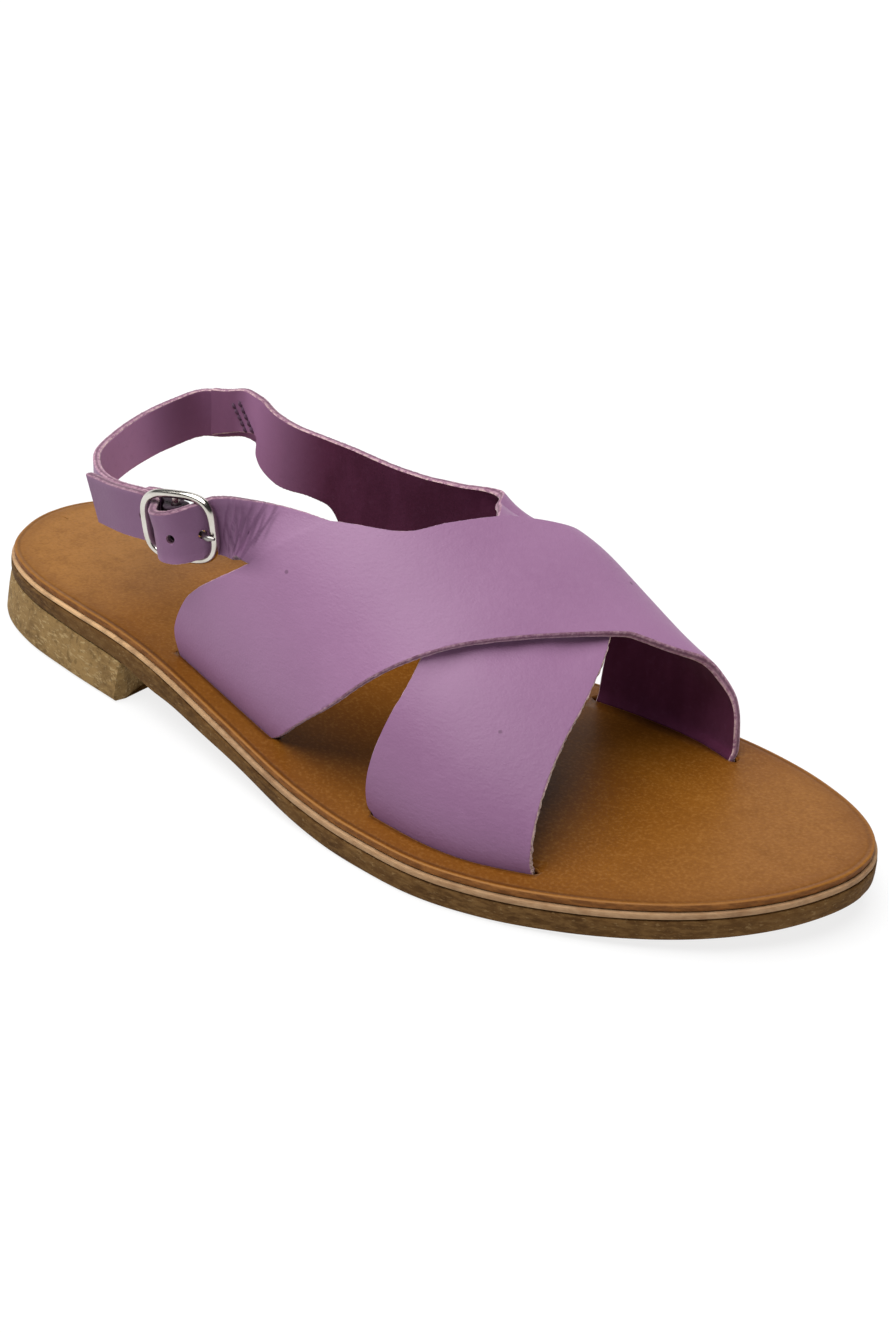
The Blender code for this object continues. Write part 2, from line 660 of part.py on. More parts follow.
shoe = bpy.data.objects.new("shoe", None)
bpy.context.scene.collection.objects.link(shoe)

heel_block()
layer("outsole", OUTSOLE_LEDGE, outsole_top, outsole_wall)
layer("midsole", MIDSOLE_LEDGE, midsole_top, midsole_wall)
insole = layer("insole", 0.0, seat, lambda x: INSOLE)
cut(insole, slot_tool("slot_0", OVER_FOOT[-1, 0], OVER_FOOT[-1, 2], 0.0, OVER_LIFT))
cut(insole, slot_tool("slot_1", OVER_TRUNK[-1, 0], OVER_TRUNK[-1, 2], 180.0, OVER_LIFT))
cut(insole, slot_tool("slot_2", UNDER_TRUNK[-1, 0], UNDER_TRUNK[-1, 2], 0.0, UNDER_LIFT))
cut(insole, slot_tool("slot_3", UNDER_FOOT[-1, 0], UNDER_FOOT[-1, 2], 180.0, UNDER_LIFT))
upper()
heel_strap()
buckle_frame()
buckle_prong()

# Origin under the middle of the shoe's box
bpy.context.view_layer.update()
pieces = [item for item in bpy.data.objects if item.type == "MESH" and not item.hide_render]
box = np.array([item.matrix_world @ Vector(corner) for item in pieces for corner in item.bound_box])
middle = (box.min(0) + box.max(0)) / 2
shoe.location = (-middle[0], -middle[1], 0.0)
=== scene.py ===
import bpy
import numpy as np
from mathutils import Matrix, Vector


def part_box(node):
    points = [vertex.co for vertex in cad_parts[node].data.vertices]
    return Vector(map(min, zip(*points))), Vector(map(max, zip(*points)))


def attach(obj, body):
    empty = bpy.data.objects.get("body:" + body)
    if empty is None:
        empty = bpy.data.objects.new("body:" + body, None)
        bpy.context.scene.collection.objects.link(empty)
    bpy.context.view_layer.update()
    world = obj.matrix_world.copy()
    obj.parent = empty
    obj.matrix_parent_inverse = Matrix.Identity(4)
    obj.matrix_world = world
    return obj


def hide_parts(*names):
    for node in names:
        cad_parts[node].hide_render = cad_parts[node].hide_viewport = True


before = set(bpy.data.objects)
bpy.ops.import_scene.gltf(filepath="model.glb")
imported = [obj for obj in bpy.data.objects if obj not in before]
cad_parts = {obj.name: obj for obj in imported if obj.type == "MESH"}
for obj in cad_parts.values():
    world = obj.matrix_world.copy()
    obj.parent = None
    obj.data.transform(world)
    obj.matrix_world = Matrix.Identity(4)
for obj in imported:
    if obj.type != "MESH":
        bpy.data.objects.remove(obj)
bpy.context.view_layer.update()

# Heel: a low block of pressed leather board, sawn to the heel's outline, sanded and glued
# under the outsole. Its breast is hollowed a little, and its bare sides show pale fibre flecks.
MM = 0.001
LENGTH = 250 * MM
BALL_WIDTH = 93 * MM
GAP = 0.3 * MM             # glue line between neighbouring layers
INSOLE = 1.6 * MM
MIDSOLE = 1.4 * MM         # under the ball
MIDSOLE_THINNING = 0.4 * MM
OUTSOLE = 4.6 * MM         # under the ball
OUTSOLE_THINNING = 1.2 * MM
THINNING_FROM, THINNING_LENGTH = 78 * MM, 70 * MM
OUTSOLE_BELLS = np.array([
    # place along, reach, height, in mm: the shank, the place in front of the breast
    (122, 17, -1.2), (82, 7, 1.0),
]) * MM
FOREFOOT_SEAT = 8.2 * MM
HEEL_RISE = 10.7 * MM
TOE_SPRING = 6.2 * MM
WAIST_FRONT, WAIST_LENGTH = 155 * MM, 98 * MM
SPRING_FROM, SPRING_LENGTH = 180 * MM, 70 * MM
HEEL_BREAST = 0.281 * LENGTH
BREAST_HOLLOW = 5.0 * MM
NEAR_BREAST = 0.5 * MM
SOLE_END = 0.012           # part of the stations left out at each end, closed by a short edge
EDGE_POINTS = 220
CROSS_POINTS = 17
SOLE_ROWS = np.array([
    # along in lengths, lateral and medial edge in ball widths
    (0.000, 0.032, 0.032), (0.012, -0.098, 0.161), (0.040, -0.209, 0.242), (0.120, -0.315, 0.324),
    (0.200, -0.351, 0.340), (0.320, -0.387, 0.312), (0.440, -0.444, 0.298), (0.560, -0.505, 0.390),
    (0.640, -0.528, 0.460), (0.700, -0.527, 0.481), (0.760, -0.490, 0.481), (0.820, -0.426, 0.467),
    (0.880, -0.340, 0.423), (0.928, -0.247, 0.358), (0.964, -0.146, 0.284), (0.988, -0.040, 0.204),
    (1.000, 0.090, 0.090),
])
HEEL_PROFILE = np.array([
    # outset from the insole's edge in mm, part of the block's height
    (2.6, 0.0), (2.95, 0.03), (3.05, 0.1), (2.6, 0.35), (2.1, 0.6), (1.5, 0.85), (1.15, 0.96), (0.9, 1.0),
])


def smooth(at, stations, values):
    """Cubic curve through rows of values, each row's slope taken from its neighbours."""
    slopes = np.gradient(values, stations, axis=0)
    row = np.clip(np.searchsorted(stations, at) - 1, 0, len(stations) - 2)
    step = (stations[row + 1] - stations[row])[..., None]
    t = (at - stations[row])[..., None] / step
    rise = t * t * (3 - 2 * t)
    return ((1 - rise) * values[row] + rise * values[row + 1]
            + t * (1 - t) * step * ((1 - t) * slopes[row] - t * slopes[row + 1]))


def unit(vectors):
    """Vectors divided by their own lengths."""
    return vectors / np.linalg.norm(vectors, axis=-1, keepdims=True)


def eased(part):
    """Step from 0 to 1 that starts and ends level: 3 times the square less 2 times the cube."""
    part = np.clip(part, 0, 1)
    return part * part * (3 - 2 * part)


def waist(x):
    """Eased step from 0 under the ball to 1 under the heel."""
    return eased((WAIST_FRONT - x) / WAIST_LENGTH)


def seat(x):
    """Top of the insole: level under the ball, an eased rise through the waist to the heel, and
    a toe that lifts with the square of the distance."""
    spring = np.clip((x - SPRING_FROM) / SPRING_LENGTH, 0, None)
    return FOREFOOT_SEAT + HEEL_RISE * waist(x) + TOE_SPRING * spring * spring


def midsole_wall(x):
    """Thickness of the midsole: full under the ball, thinning through the waist to the heel."""
    return MIDSOLE - MIDSOLE_THINNING * waist(x)


def outsole_wall(x):
    """Thickness of the outsole: full under the ball, an eased thinning to the back of the heel,
    less a bell in the shank and plus a bell just in front of the heel's breast."""
    wall = OUTSOLE - OUTSOLE_THINNING * eased((THINNING_FROM - x) / THINNING_LENGTH)
    for at, reach, height in OUTSOLE_BELLS:
        wall = wall + height * np.exp(-((x - at) / reach) ** 2)
    return wall


def outsole_top(x):
    """Top of the outsole: the insole's top less the insole, the midsole and two glue lines."""
    return seat(x) - INSOLE - 2 * GAP - midsole_wall(x)


def outline(margin, stop=1 - SOLE_END, count=EDGE_POINTS, across=CROSS_POINTS):
    """Closed outline of the sole: both edges at cosine-spaced stations from heel to toe, moved
    out by a margin along the outline's normal, with the two short ends split across."""
    station = np.arccos(1 - 2 * SOLE_ROWS[:, 0]) / np.pi
    t = np.linspace(SOLE_END, stop, count)
    x = LENGTH * (1 - np.cos(np.pi * t)) / 2
    sides = BALL_WIDTH * smooth(t, station, SOLE_ROWS[:, 1:])
    loop = np.concatenate((np.stack((x, sides[:, 0]), 1), np.stack((x, sides[:, 1]), 1)[::-1]))
    tangent = unit(np.roll(loop, -1, 0) - np.roll(loop, 1, 0))
    loop = loop + margin * np.stack((tangent[:, 1], -tangent[:, 0]), 1)
    part = np.linspace(0, 1, across)[1:-1, None]
    toe = loop[count - 1] + part * (loop[count] - loop[count - 1])
    heel = loop[-1] + part * (loop[0] - loop[-1])
    return np.concatenate((loop[:count], toe, loop[count:], heel))


def stack(loops, count=EDGE_POINTS, across=CROSS_POINTS):
    """Grids of a closed solid: its side is a grid of outlines one above the other, its floor and
    cover are grids of lines drawn straight across from the lateral to the medial edge."""
    def cover(loop):
        lateral = loop[:count]
        medial = loop[count + across - 2:2 * count + across - 2][::-1]
        return lateral[:, None] + np.linspace(0, 1, across)[None, :, None] * (medial - lateral)[:, None]
    side = np.concatenate((loops, loops[:, :1]), 1)
    return [side, cover(loops[0]), cover(loops[-1])[:, ::-1]]


def joined(grids):
    """Points and quads of grids whose touching borders are made one."""
    points = np.concatenate([grid.reshape(-1, 3) for grid in grids])
    quads = []
    start = 0
    for grid in grids:
        index = start + np.arange(grid.shape[0] * grid.shape[1]).reshape(grid.shape[:2])
        corners = (index[:-1, :-1], index[:-1, 1:], index[1:, 1:], index[1:, :-1])
        quads.append(np.stack(corners, -1).reshape(-1, 4))
        start += index.size
    merged, index = np.unique(np.round(points, 7), axis=0, return_inverse=True)
    return merged, index.reshape(-1)[np.concatenate(quads)]


insole_edge = outline(0.0)
insole_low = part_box("insole")[0]
PLACE = np.array([insole_low.x - insole_edge[:, 0].min(), insole_low.y - insole_edge[:, 1].min(), 0.0])


def add_piece(name, points, faces, materials, sharp=35):
    """Mesh object in the frame's place, smooth but for edges sharper than an angle in degrees."""
    mesh = bpy.data.meshes.new(name)
    mesh.from_pydata((points + PLACE).tolist(), [], faces.tolist())
    mesh.shade_smooth()
    mesh.set_sharp_from_angle(angle=np.radians(sharp))
    for material in materials:
        mesh.materials.append(material)
    piece = bpy.data.objects.new(name, mesh)
    bpy.context.scene.collection.objects.link(piece)
    return piece


class Field:
    """A value or colour over a surface: one node's output, on which arithmetic adds Math nodes."""

    def __init__(self, tree, socket):
        self.tree = tree
        self.socket = socket

    def node(self, kind, sockets, output=0, **settings):
        """Adds a node of any kind with its settings and inputs, and gives one of its outputs."""
        node = self.tree.nodes.new(kind)
        for name, value in settings.items():
            setattr(node, name, value)
        for name, value in sockets.items():
            if isinstance(value, Field):
                self.tree.links.new(value.socket, node.inputs[name])
            else:
                node.inputs[name].default_value = value
        return Field(self.tree, node.outputs[output])

    def math(self, operation, *values):
        """One step of arithmetic on values or fields."""
        return self.node("ShaderNodeMath", dict(enumerate(values)), operation=operation)

    def __add__(self, other):
        return self.math("ADD", self, other)

    def __sub__(self, other):
        return self.math("SUBTRACT", self, other)

    def __rsub__(self, other):
        return self.math("SUBTRACT", other, self)

    def __mul__(self, other):
        return self.math("MULTIPLY", self, other)

    def __abs__(self):
        return self.math("ABSOLUTE", self)

    __radd__ = __add__
    __rmul__ = __mul__

    def stretch(self, *factors):
        """Coordinates multiplied axis by axis."""
        return self.node("ShaderNodeVectorMath", {0: self, 1: factors}, operation="MULTIPLY")

    def noise(self, scale, detail=3.0, roughness=0.55):
        """Cloudy value from 0 to 1, with a number of clouds in a metre."""
        return self.node("ShaderNodeTexNoise", {"Vector": self, "Scale": scale, "Detail": detail,
                                                "Roughness": roughness})

    def cells(self, scale):
        """Distance to the nearest of scattered points, with a number of points in a metre."""
        return self.node("ShaderNodeTexVoronoi", {"Vector": self, "Scale": scale})

    def axis(self, name):
        """One coordinate of a place: X, Y or Z."""
        return self.node("ShaderNodeSeparateXYZ", {"Vector": self}, name)

    def attribute(self, name):
        """A number that the piece's mesh keeps for each vertex."""
        return self.node("ShaderNodeAttribute", {}, "Fac", attribute_name=name)

    def ramp(self, low, high):
        """Eased step from 0 at low to 1 at high."""
        return self.node("ShaderNodeMapRange", {"Value": self, "From Min": low, "From Max": high},
                         interpolation_type="SMOOTHSTEP")

    def mix(self, first, second):
        """Colour that goes from the first to the second as this value goes from 0 to 1."""
        return self.node("ShaderNodeMix", {0: self, 6: first, 7: second}, 2, data_type="RGBA")

    def relief(self, depth, strength):
        """Bump whose full height is a depth in metres."""
        return self.node("ShaderNodeBump", {"Height": self, "Distance": depth, "Strength": strength})


def tint(red, green, blue):
    """Linear colour from display values of 0 to 255."""
    display = np.array([red, green, blue]) / 255
    linear = np.where(display <= 0.04045, display / 12.92, ((display + 0.055) / 1.055) ** 2.4)
    return (*linear.tolist(), 1.0)


def finish(name, **even):
    """Material with a Principled shader: its even values on their own sockets, and its coordinates."""
    material = bpy.data.materials.new(name)
    material.use_nodes = True
    shader = material.node_tree.nodes["Principled BSDF"]
    for socket, value in even.items():
        shader.inputs[socket.replace("_", " ")].default_value = value
    place = material.node_tree.nodes.new("ShaderNodeTexCoord")
    return material, shader, Field(material.node_tree, place.outputs["Object"])


def feed(shader, **fields):
    """Links fields to a shader's sockets by their names."""
    for socket, field in fields.items():
        field.tree.links.new(field.socket, shader.inputs[socket.replace("_", " ")])


heel_board, shader, place = finish("heel_board", Specular_IOR_Level=0.15)
fibres = place.stretch(1, 1, 2.2).noise(420, 5, 0.7)
flecks = place.stretch(0.4, 1, 1.2).noise(1000, 3, 0.65).ramp(0.54, 0.64)
pits = place.stretch(0.7, 1, 0.6).noise(620, 3, 0.65).ramp(0.46, 0.36)
stains = place.noise(70, 4, 0.6).ramp(0.35, 0.65)
board = stains.mix(tint(135, 107, 65), tint(100, 75, 42))
board = fibres.ramp(0.3, 0.75).mix(board, tint(141, 114, 72))
board = (pits * 0.5).mix(board, tint(84, 62, 32))
feed(shader, Base_Color=(flecks * 0.32).mix(board, tint(196, 172, 126)), Roughness=0.72 + fibres * 0.25,
     Normal=(fibres + flecks * 0.4).relief(0.3 * MM, 0.8))

# The breast is a parabola in plan: deepest in the middle, on its line at both edges.
heel_stop = np.arccos(1 - 2 * HEEL_BREAST / LENGTH) / np.pi
heel_rings = []
for outset, part in HEEL_PROFILE:
    ring = outline(outset * MM, heel_stop)
    edge = ring[ring[:, 0] > HEEL_BREAST - NEAR_BREAST, 1]
    off_middle = (2 * ring[:, 1] - edge.min() - edge.max()) / np.ptp(edge)
    hollow = BREAST_HOLLOW * np.clip(1 - off_middle ** 2, 0, None)
    ring[:, 0] = np.minimum(ring[:, 0], HEEL_BREAST - hollow)
    top = outsole_top(ring[:, 0]) - outsole_wall(ring[:, 0]) - GAP
    heel_rings.append(np.column_stack((ring, part * top)))
heel = add_piece("heel_block", *joined(stack(np.array(heel_rings))), [heel_board])
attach(heel, "root")
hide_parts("heel")

# Outsole: one cut of thick bonded leather board, glued under the midsole, with its edge
# trimmed on a wheel and left dark brown, so that the side is matt, streaked and fibrous.
OUTSOLE_PROFILE = np.array([
    # outset from the insole's edge in mm, part of the layer's thickness
    (0.7, 0.0), (0.95, 0.03), (1.05, 0.12), (1.1, 0.4), (1.05, 0.7), (1.0, 0.93), (0.85, 0.98), (0.65, 1.0),
])


def sole_layer(profile, top, wall):
    """Grids of a layer that follows the sole's curve: a profile of outsets and parts of the wall
    carried round the outline, its top and its wall being functions of the place along the sole."""
    rings = []
    for outset, part in profile:
        ring = outline(outset * MM)
        rings.append(np.column_stack((ring, top(ring[:, 0]) - (1 - part) * wall(ring[:, 0]))))
    return stack(np.array(rings))


outsole_board, shader, place = finish("outsole_board", Specular_IOR_Level=0.1)
streaks = place.stretch(1, 1, 3.2).noise(300, 5, 0.68)
flecks = place.stretch(1, 1, 2.4).noise(700, 2).ramp(0.6, 0.7)
stains = place.noise(45, 3).ramp(0.35, 0.65)
board = stains.mix(tint(88, 60, 28), tint(68, 44, 18))
board = streaks.ramp(0.35, 0.72).mix(board, tint(106, 78, 44))
feed(shader, Base_Color=(flecks * 0.4).mix(board, tint(140, 112, 74)), Roughness=0.7 + streaks * 0.25,
     Normal=(streaks + flecks * 0.3).relief(0.25 * MM, 0.8))

outsole_grids = sole_layer(OUTSOLE_PROFILE, outsole_top, outsole_wall)
outsole = add_piece("outsole_layer", *joined(outsole_grids), [outsole_board])
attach(outsole, "root")
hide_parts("outsole")

# Midsole: natural leather, cut a little wider than the insole and glued between it and the
# outsole. Its cut edge is bare and pale, with the hide's layers showing as fine lines.
MIDSOLE_PROFILE = np.array([
    # outset from the insole's edge in mm, part of the layer's thickness
    (0.5, 0.0), (0.68, 0.07), (0.76, 0.2), (0.8, 0.5), (0.74, 0.8), (0.64, 0.94), (0.42, 1.0),
])
midsole_hide, shader, place = finish("midsole_hide", Specular_IOR_Level=0.3)
grain = place.stretch(1, 1, 4).noise(380, 5, 0.65)
dirt = place.noise(90, 4, 0.65).ramp(0.5, 0.72)
hide = grain.ramp(0.3, 0.7).mix(tint(143, 108, 74), tint(164, 132, 98))
along = place.axis("X")
shank = along.ramp(-5 * MM, -50 * MM) * along.ramp(-120 * MM, -85 * MM)
hide = (shank * 0.9).mix(hide, tint(200, 161, 116))
feed(shader, Base_Color=(dirt * 0.55).mix(hide, tint(108, 76, 48)), Roughness=0.66 + grain * 0.2,
     Normal=grain.relief(0.15 * MM, 0.6))

midsole_grids = sole_layer(MIDSOLE_PROFILE, lambda x: seat(x) - INSOLE - GAP, midsole_wall)
midsole = add_piece("midsole_layer", *joined(midsole_grids), [midsole_hide])
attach(midsole, "root")
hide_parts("midsole")

# Insole: firm vegetable-tanned leather the foot stands on, dyed caramel, waxed and burnished.
# Its edge is creased with a hot iron and stained dark, and four slots take the straps' feet.
INSOLE_PROFILE = np.array([
    # outset from the edge in mm, part of the layer's thickness
    (-0.1, 0.0), (0.0, 0.08), (0.02, 0.5), (0.0, 0.78), (-0.1, 0.9), (-0.3, 0.98), (-0.6, 1.0),
    (-0.9, 0.985), (-1.15, 0.95), (-1.4, 0.945), (-1.65, 0.975), (-2.1, 1.0), (-3.0, 1.0), (-5.0, 1.0),
    (-8.0, 1.0),
])
STAINED_DEPTH = 0.13 * MM  # the edge is stained below this depth and within this inset
STAINED_INSET = 0.6 * MM
SLOT_SIDE = 0.35 * MM
SLOT_ENDS = 1.6 * MM
SLOT_POINTS = 40
SLOT_SQUARENESS = 24       # power that keeps the slot's sides straight up to its ends
SLOT_END_PART = 0.02
CUTTER_LOW, CUTTER_HIGH = -2 * MM, 30 * MM
INSTEP = 58 * MM
LAST_ROWS = np.array([
    # along in lengths; lateral, crest, medial in ball widths; height in insteps; swells in ball widths
    (0.18, -0.247, 0.00, 0.215, 1.380, 0.011, 0.054), (0.30, -0.271, 0.04, 0.215, 1.240, 0.022, 0.059),
    (0.42, -0.323, 0.09, 0.231, 1.000, 0.027, 0.065), (0.54, -0.378, 0.15, 0.285, 0.885, 0.013, 0.060),
    (0.64, -0.430, 0.19, 0.352, 0.700, 0.000, 0.062), (0.72, -0.426, 0.19, 0.378, 0.500, 0.000, 0.054),
    (0.78, -0.372, 0.18, 0.366, 0.365, 0.000, 0.044), (0.84, -0.305, 0.16, 0.305, 0.250, 0.005, 0.030),
])
LATERAL_SQUARENESS, MEDIAL_SQUARENESS = 0.1, 0.5
ALONG_STEP, TURN_STEP = 1e-4, 0.02  # lengths and degrees, for the last's tangents
STRAP = 2.0 * MM
UNDER_LIFT = 1.0 * MM
OVER_LIFT = 2.5 * MM
STRAP_FEET = (
    # along from, along to, turn round the last, lift of the strap's middle
    (0.345, 0.491, 0.0, OVER_LIFT), (0.664, 0.817, 180.0, OVER_LIFT),
    (0.631, 0.781, 0.0, UNDER_LIFT), (0.328, 0.476, 180.0, UNDER_LIFT),
)


def last_point(along, turn):
    """Point of the foot's last: an arch over the insole from the lateral foot (0 degrees) over
    the crest to the medial foot (180), each side a quarter ellipse, swollen and squared."""
    along, turn = np.broadcast_arrays(np.asarray(along, float), np.radians(turn))
    rows = smooth(along, LAST_ROWS[:, 0], LAST_ROWS[:, 1:])
    lateral, crest, medial, height, lateral_swell, medial_swell = np.moveaxis(rows, -1, 0)
    outside = np.cos(turn) > 0
    half = np.where(outside, crest - lateral, medial - crest)
    swell = np.where(outside, lateral_swell, medial_swell)
    square = np.where(outside, LATERAL_SQUARENESS, MEDIAL_SQUARENESS)
    y = BALL_WIDTH * (crest - half * np.cos(turn) - swell * np.sin(2 * turn))
    z = seat(along * LENGTH) + INSTEP * height * np.sin(turn) * (1 + square * np.cos(turn) ** 2)
    return np.stack((along * LENGTH, y, z), axis=-1)


def over_last(along, turn, lift, swells=()):
    """Point lifted off the last along its normal, the cross product of its two tangents, by a
    height to which each row of swells adds a bell-shaped rise in mm."""
    across = last_point(along + ALONG_STEP, turn) - last_point(along - ALONG_STEP, turn)
    around = last_point(along, turn + TURN_STEP) - last_point(along, turn - TURN_STEP)
    for at, angle, reach, breadth, height in swells:
        lift = lift + height * MM * np.exp(-((along - at) / reach) ** 2 - ((turn - angle) / breadth) ** 2)
    return last_point(along, turn) + np.asarray(lift)[..., None] * unit(np.cross(across, around))


def slot_cutter(along_from, along_to, turn, lift):
    """Grids of an upright cutter: a strap's foot seen from above, wider and longer by the slot's
    ease, its half width the root of 1 less a high power of the place along it."""
    ease = SLOT_ENDS / LENGTH
    along = np.linspace(along_from - ease, along_to + ease, SLOT_POINTS)
    narrow = STRAP / 2 + SLOT_SIDE
    fall = np.abs(np.linspace(-1, 1, SLOT_POINTS)) ** SLOT_SQUARENESS
    taper = narrow * np.sqrt(np.clip(1 - fall, SLOT_END_PART, 1))
    foot = over_last(along, np.full(SLOT_POINTS, turn), lift)[:, :2]
    tangent = unit(np.gradient(foot, axis=0))
    normal = np.stack((tangent[:, 1], -tangent[:, 0]), 1) * taper[:, None]
    ring = np.concatenate((foot + normal, (foot - normal)[::-1]))
    heights = (CUTTER_LOW, CUTTER_HIGH)
    walls = np.stack([np.column_stack((ring, np.full(len(ring), height))) for height in heights])
    return stack(walls, SLOT_POINTS, 2)


def mark(piece, name, values):
    """Keeps one number a vertex as a named attribute for the piece's finish."""
    piece.data.attributes.new(name, "FLOAT", "POINT").data.foreach_set("value", values)


def vertices(piece):
    """Points of a piece's mesh in the shoe's own place."""
    points = np.empty(len(piece.data.vertices) * 3)
    piece.data.vertices.foreach_get("co", points)
    return points.reshape(-1, 3) - PLACE


def cut_out(piece, grids):
    """Takes cutters away from a piece, and keeps the result as the piece's own mesh."""
    tool = add_piece("cutter", *joined(grids), piece.data.materials)
    last_material = len(piece.data.materials) - 1
    tool.data.polygons.foreach_set("material_index", np.full(len(tool.data.polygons), last_material))
    modifier = piece.modifiers.new("cut", "BOOLEAN")
    modifier.object = tool
    modifier.solver = "EXACT"
    view = bpy.context.evaluated_depsgraph_get()
    result = bpy.data.meshes.new_from_object(piece.evaluated_get(view))
    piece.modifiers.clear()
    piece.data = result
    bpy.data.objects.remove(tool, do_unlink=True)


insole_hide, shader, place = finish("insole_hide", Coat_Roughness=0.22, Specular_IOR_Level=0.09)
inset = place.attribute("inset")
clouds = place.stretch(1, 1.5, 1).noise(26, 5, 0.6)
mottle = place.noise(170, 5, 0.65)
pores = place.cells(1500)
speckle = place.noise(1250, 2, 0.6)
along = place.axis("X")
heelwards = along.ramp(-50 * MM, -95 * MM)
toewards = along.ramp(70 * MM, 108 * MM)
hide = clouds.ramp(0.3, 0.7).mix(tint(124, 77, 20), tint(113, 66, 10))
hide = (heelwards * 0.6).mix(hide, tint(146, 101, 48))
# Painted sheen: towards the toe the insole is painted paler and greyer, standing in for its gloss there.
hide = (toewards * 0.6).mix(hide, tint(126, 82, 36))
# Painted shadow: the middle of the insole, under the straps and in front of them, is painted darker.
hide = (along.ramp(-25 * MM, 5 * MM) * along.ramp(105 * MM, 70 * MM) * 0.45).mix(hide, tint(94, 51, 4))
hide = (mottle.ramp(0.42, 0.74) * 0.35).mix(hide, tint(98, 56, 8))
hide = (speckle.ramp(0.5, 0.68) * 0.24).mix(hide, tint(152, 106, 54))
hide = (speckle.ramp(0.5, 0.34) * 0.22).mix(hide, tint(88, 48, 10))
hide = (inset.ramp(7, 2) * 0.3).mix(hide, tint(92, 50, 8))
crease_and_shade = inset.ramp(1.9, 1.4) * inset.ramp(0.7, 1.1)
hide = (crease_and_shade * (0.5 - toewards * 0.3 - heelwards * 0.25)).mix(hide, tint(58, 29, 6))
# Painted highlight: a thin paler band along the very edge of the top, where its rounded corner catches the
# light.
hide = (inset.ramp(0.75, 0.45) * (0.5 - toewards * 0.25 - heelwards * 0.3)).mix(hide, tint(160, 110, 50))
feed(shader, Base_Color=hide, Roughness=0.36 + mottle * 0.14, Coat_Weight=0.02 + clouds * 0.06,
     Normal=(pores * 0.5 + mottle * 0.6 + speckle).relief(0.06 * MM, 0.5))

insole_rim, shader, place = finish("insole_rim", Specular_IOR_Level=0.15)
grain = place.stretch(1, 1, 3).noise(320, 5, 0.65)
hide = grain.ramp(0.35, 0.7).mix(tint(98, 58, 22), tint(132, 84, 38))
feed(shader, Base_Color=hide, Roughness=0.5 + grain * 0.25, Normal=grain.relief(0.12 * MM, 0.5))

points, quads = joined(sole_layer(INSOLE_PROFILE, seat, lambda x: INSOLE))
insole = add_piece("insole_layer", points, quads, [insole_hide, insole_rim])
depth = seat(points[:, 0]) - points[:, 2]
nearest = np.argmin(np.linalg.norm(points[:, None, :2] - insole_edge, axis=-1), 1)
normal = unit(np.roll(insole_edge, -1, 0) - np.roll(insole_edge, 1, 0))[:, ::-1] * (1, -1)
inset = np.abs(np.sum((points[:, :2] - insole_edge[nearest]) * normal[nearest], 1))
stained = (depth[quads].mean(1) > STAINED_DEPTH) & (inset[quads].mean(1) < STAINED_INSET)
insole.data.polygons.foreach_set("material_index", stained.astype(np.int32))
mark(insole, "inset", inset / MM)
cut_out(insole, [grid for foot in STRAP_FEET for grid in slot_cutter(*foot)])
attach(insole, "root")
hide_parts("insole")

# Under strap: soft lilac cowhide, cut in one piece and left raw at its edges. It rises from the
# lateral slot over the instep, and forks into a medial foot and an ear that runs back to a tab.
UNDER_TRUNK = np.array([
    # rear along, rear turn, front along, front turn
    (0.462, 144.0, 0.552, 153.0), (0.509, 138.6, 0.592, 138.0), (0.535, 135.2, 0.632, 122.0),
    (0.549, 128.0, 0.668, 106.0), (0.562, 110.0, 0.700, 93.0), (0.579, 88.5, 0.724, 81.0),
    (0.598, 68.0, 0.742, 66.0), (0.615, 52.0, 0.753, 51.0), (0.624, 36.0, 0.763, 36.0),
    (0.621, 22.6, 0.770, 24.0), (0.618, 10.0, 0.776, 11.0), (0.622, 2.5, 0.779, 3.0), (0.631, 0.0, 0.781, 0.0),
])
UNDER_FOOT = np.array([
    # rear along, rear turn, front along, front turn
    (0.374, 171.0, 0.552, 153.0), (0.352, 174.5, 0.524, 163.0), (0.334, 177.5, 0.500, 172.0),
    (0.328, 180.0, 0.476, 180.0),
])
UNDER_EAR = np.array([
    # top along, top turn, bottom along, bottom turn
    (0.462, 144.0, 0.374, 171.0), (0.420, 147.7, 0.364, 168.2), (0.378, 151.2, 0.348, 166.0),
    (0.340, 154.3, 0.322, 166.5), (0.302, 156.5, 0.282, 167.9), (0.271, 156.8, 0.256, 167.1),
    (0.252, 155.8, 0.244, 165.2), (0.244, 155.6, 0.243, 162.2), (0.225, 155.6, 0.222, 162.6),
    (0.200, 157.2, 0.198, 164.0), (0.178, 158.3, 0.178, 165.2),
])
UNDER_SWELLS = (
    # along, turn, reach along, reach in turn, height in mm
    (0.572, 117.0, 0.035, 14.0, -3.6), (0.532, 137.0, 0.022, 8.0, 2.2), (0.640, 50.0, 0.022, 12.0, -1.3),
    (0.668, 64.0, 0.022, 12.0, -1.3), (0.698, 78.0, 0.022, 12.0, -1.3),
)
EAR_PART = 0.42
FORK_FADE = 0.4
TRUNK_ROWS = 130
FOOT_ROWS = 50
SUNK_ROWS = 4
EAR_ROWS = 300
RIM_BULGE = 0.28 * MM
RIM_FUZZ = 0.07 * MM
RIM_LINES = 6              # lines of points between the grain and the flesh side
FRAYED_FUZZ = 3            # times that a frayed rim is more ragged
LEATHER_SHARP = 50         # degrees
UNDER_SHADE = 0.24         # darkening of the strap's lower part, from a height and over a drop
UNDER_SHADE_FROM, UNDER_SHADE_DROP = 44 * MM, 18 * MM


def through(rows, count):
    """Evenly sampled smooth curve through a table's rows."""
    station = np.arange(float(len(rows)))
    curve = smooth(np.linspace(0, len(rows) - 1, count), station, rows.reshape(len(rows), -1))
    return curve.reshape(count, *rows.shape[1:])


def spread(count):
    """Parts from 0 to 1 that lie closer together at both ends: a blend of even steps and of half a
    cosine wave."""
    part = np.linspace(0, 1, count)
    return 0.45 * part + 0.55 * (0.5 - 0.5 * np.cos(np.pi * part))


EAR_COLUMNS = spread(27)
FOOT_COLUMNS = spread(37)


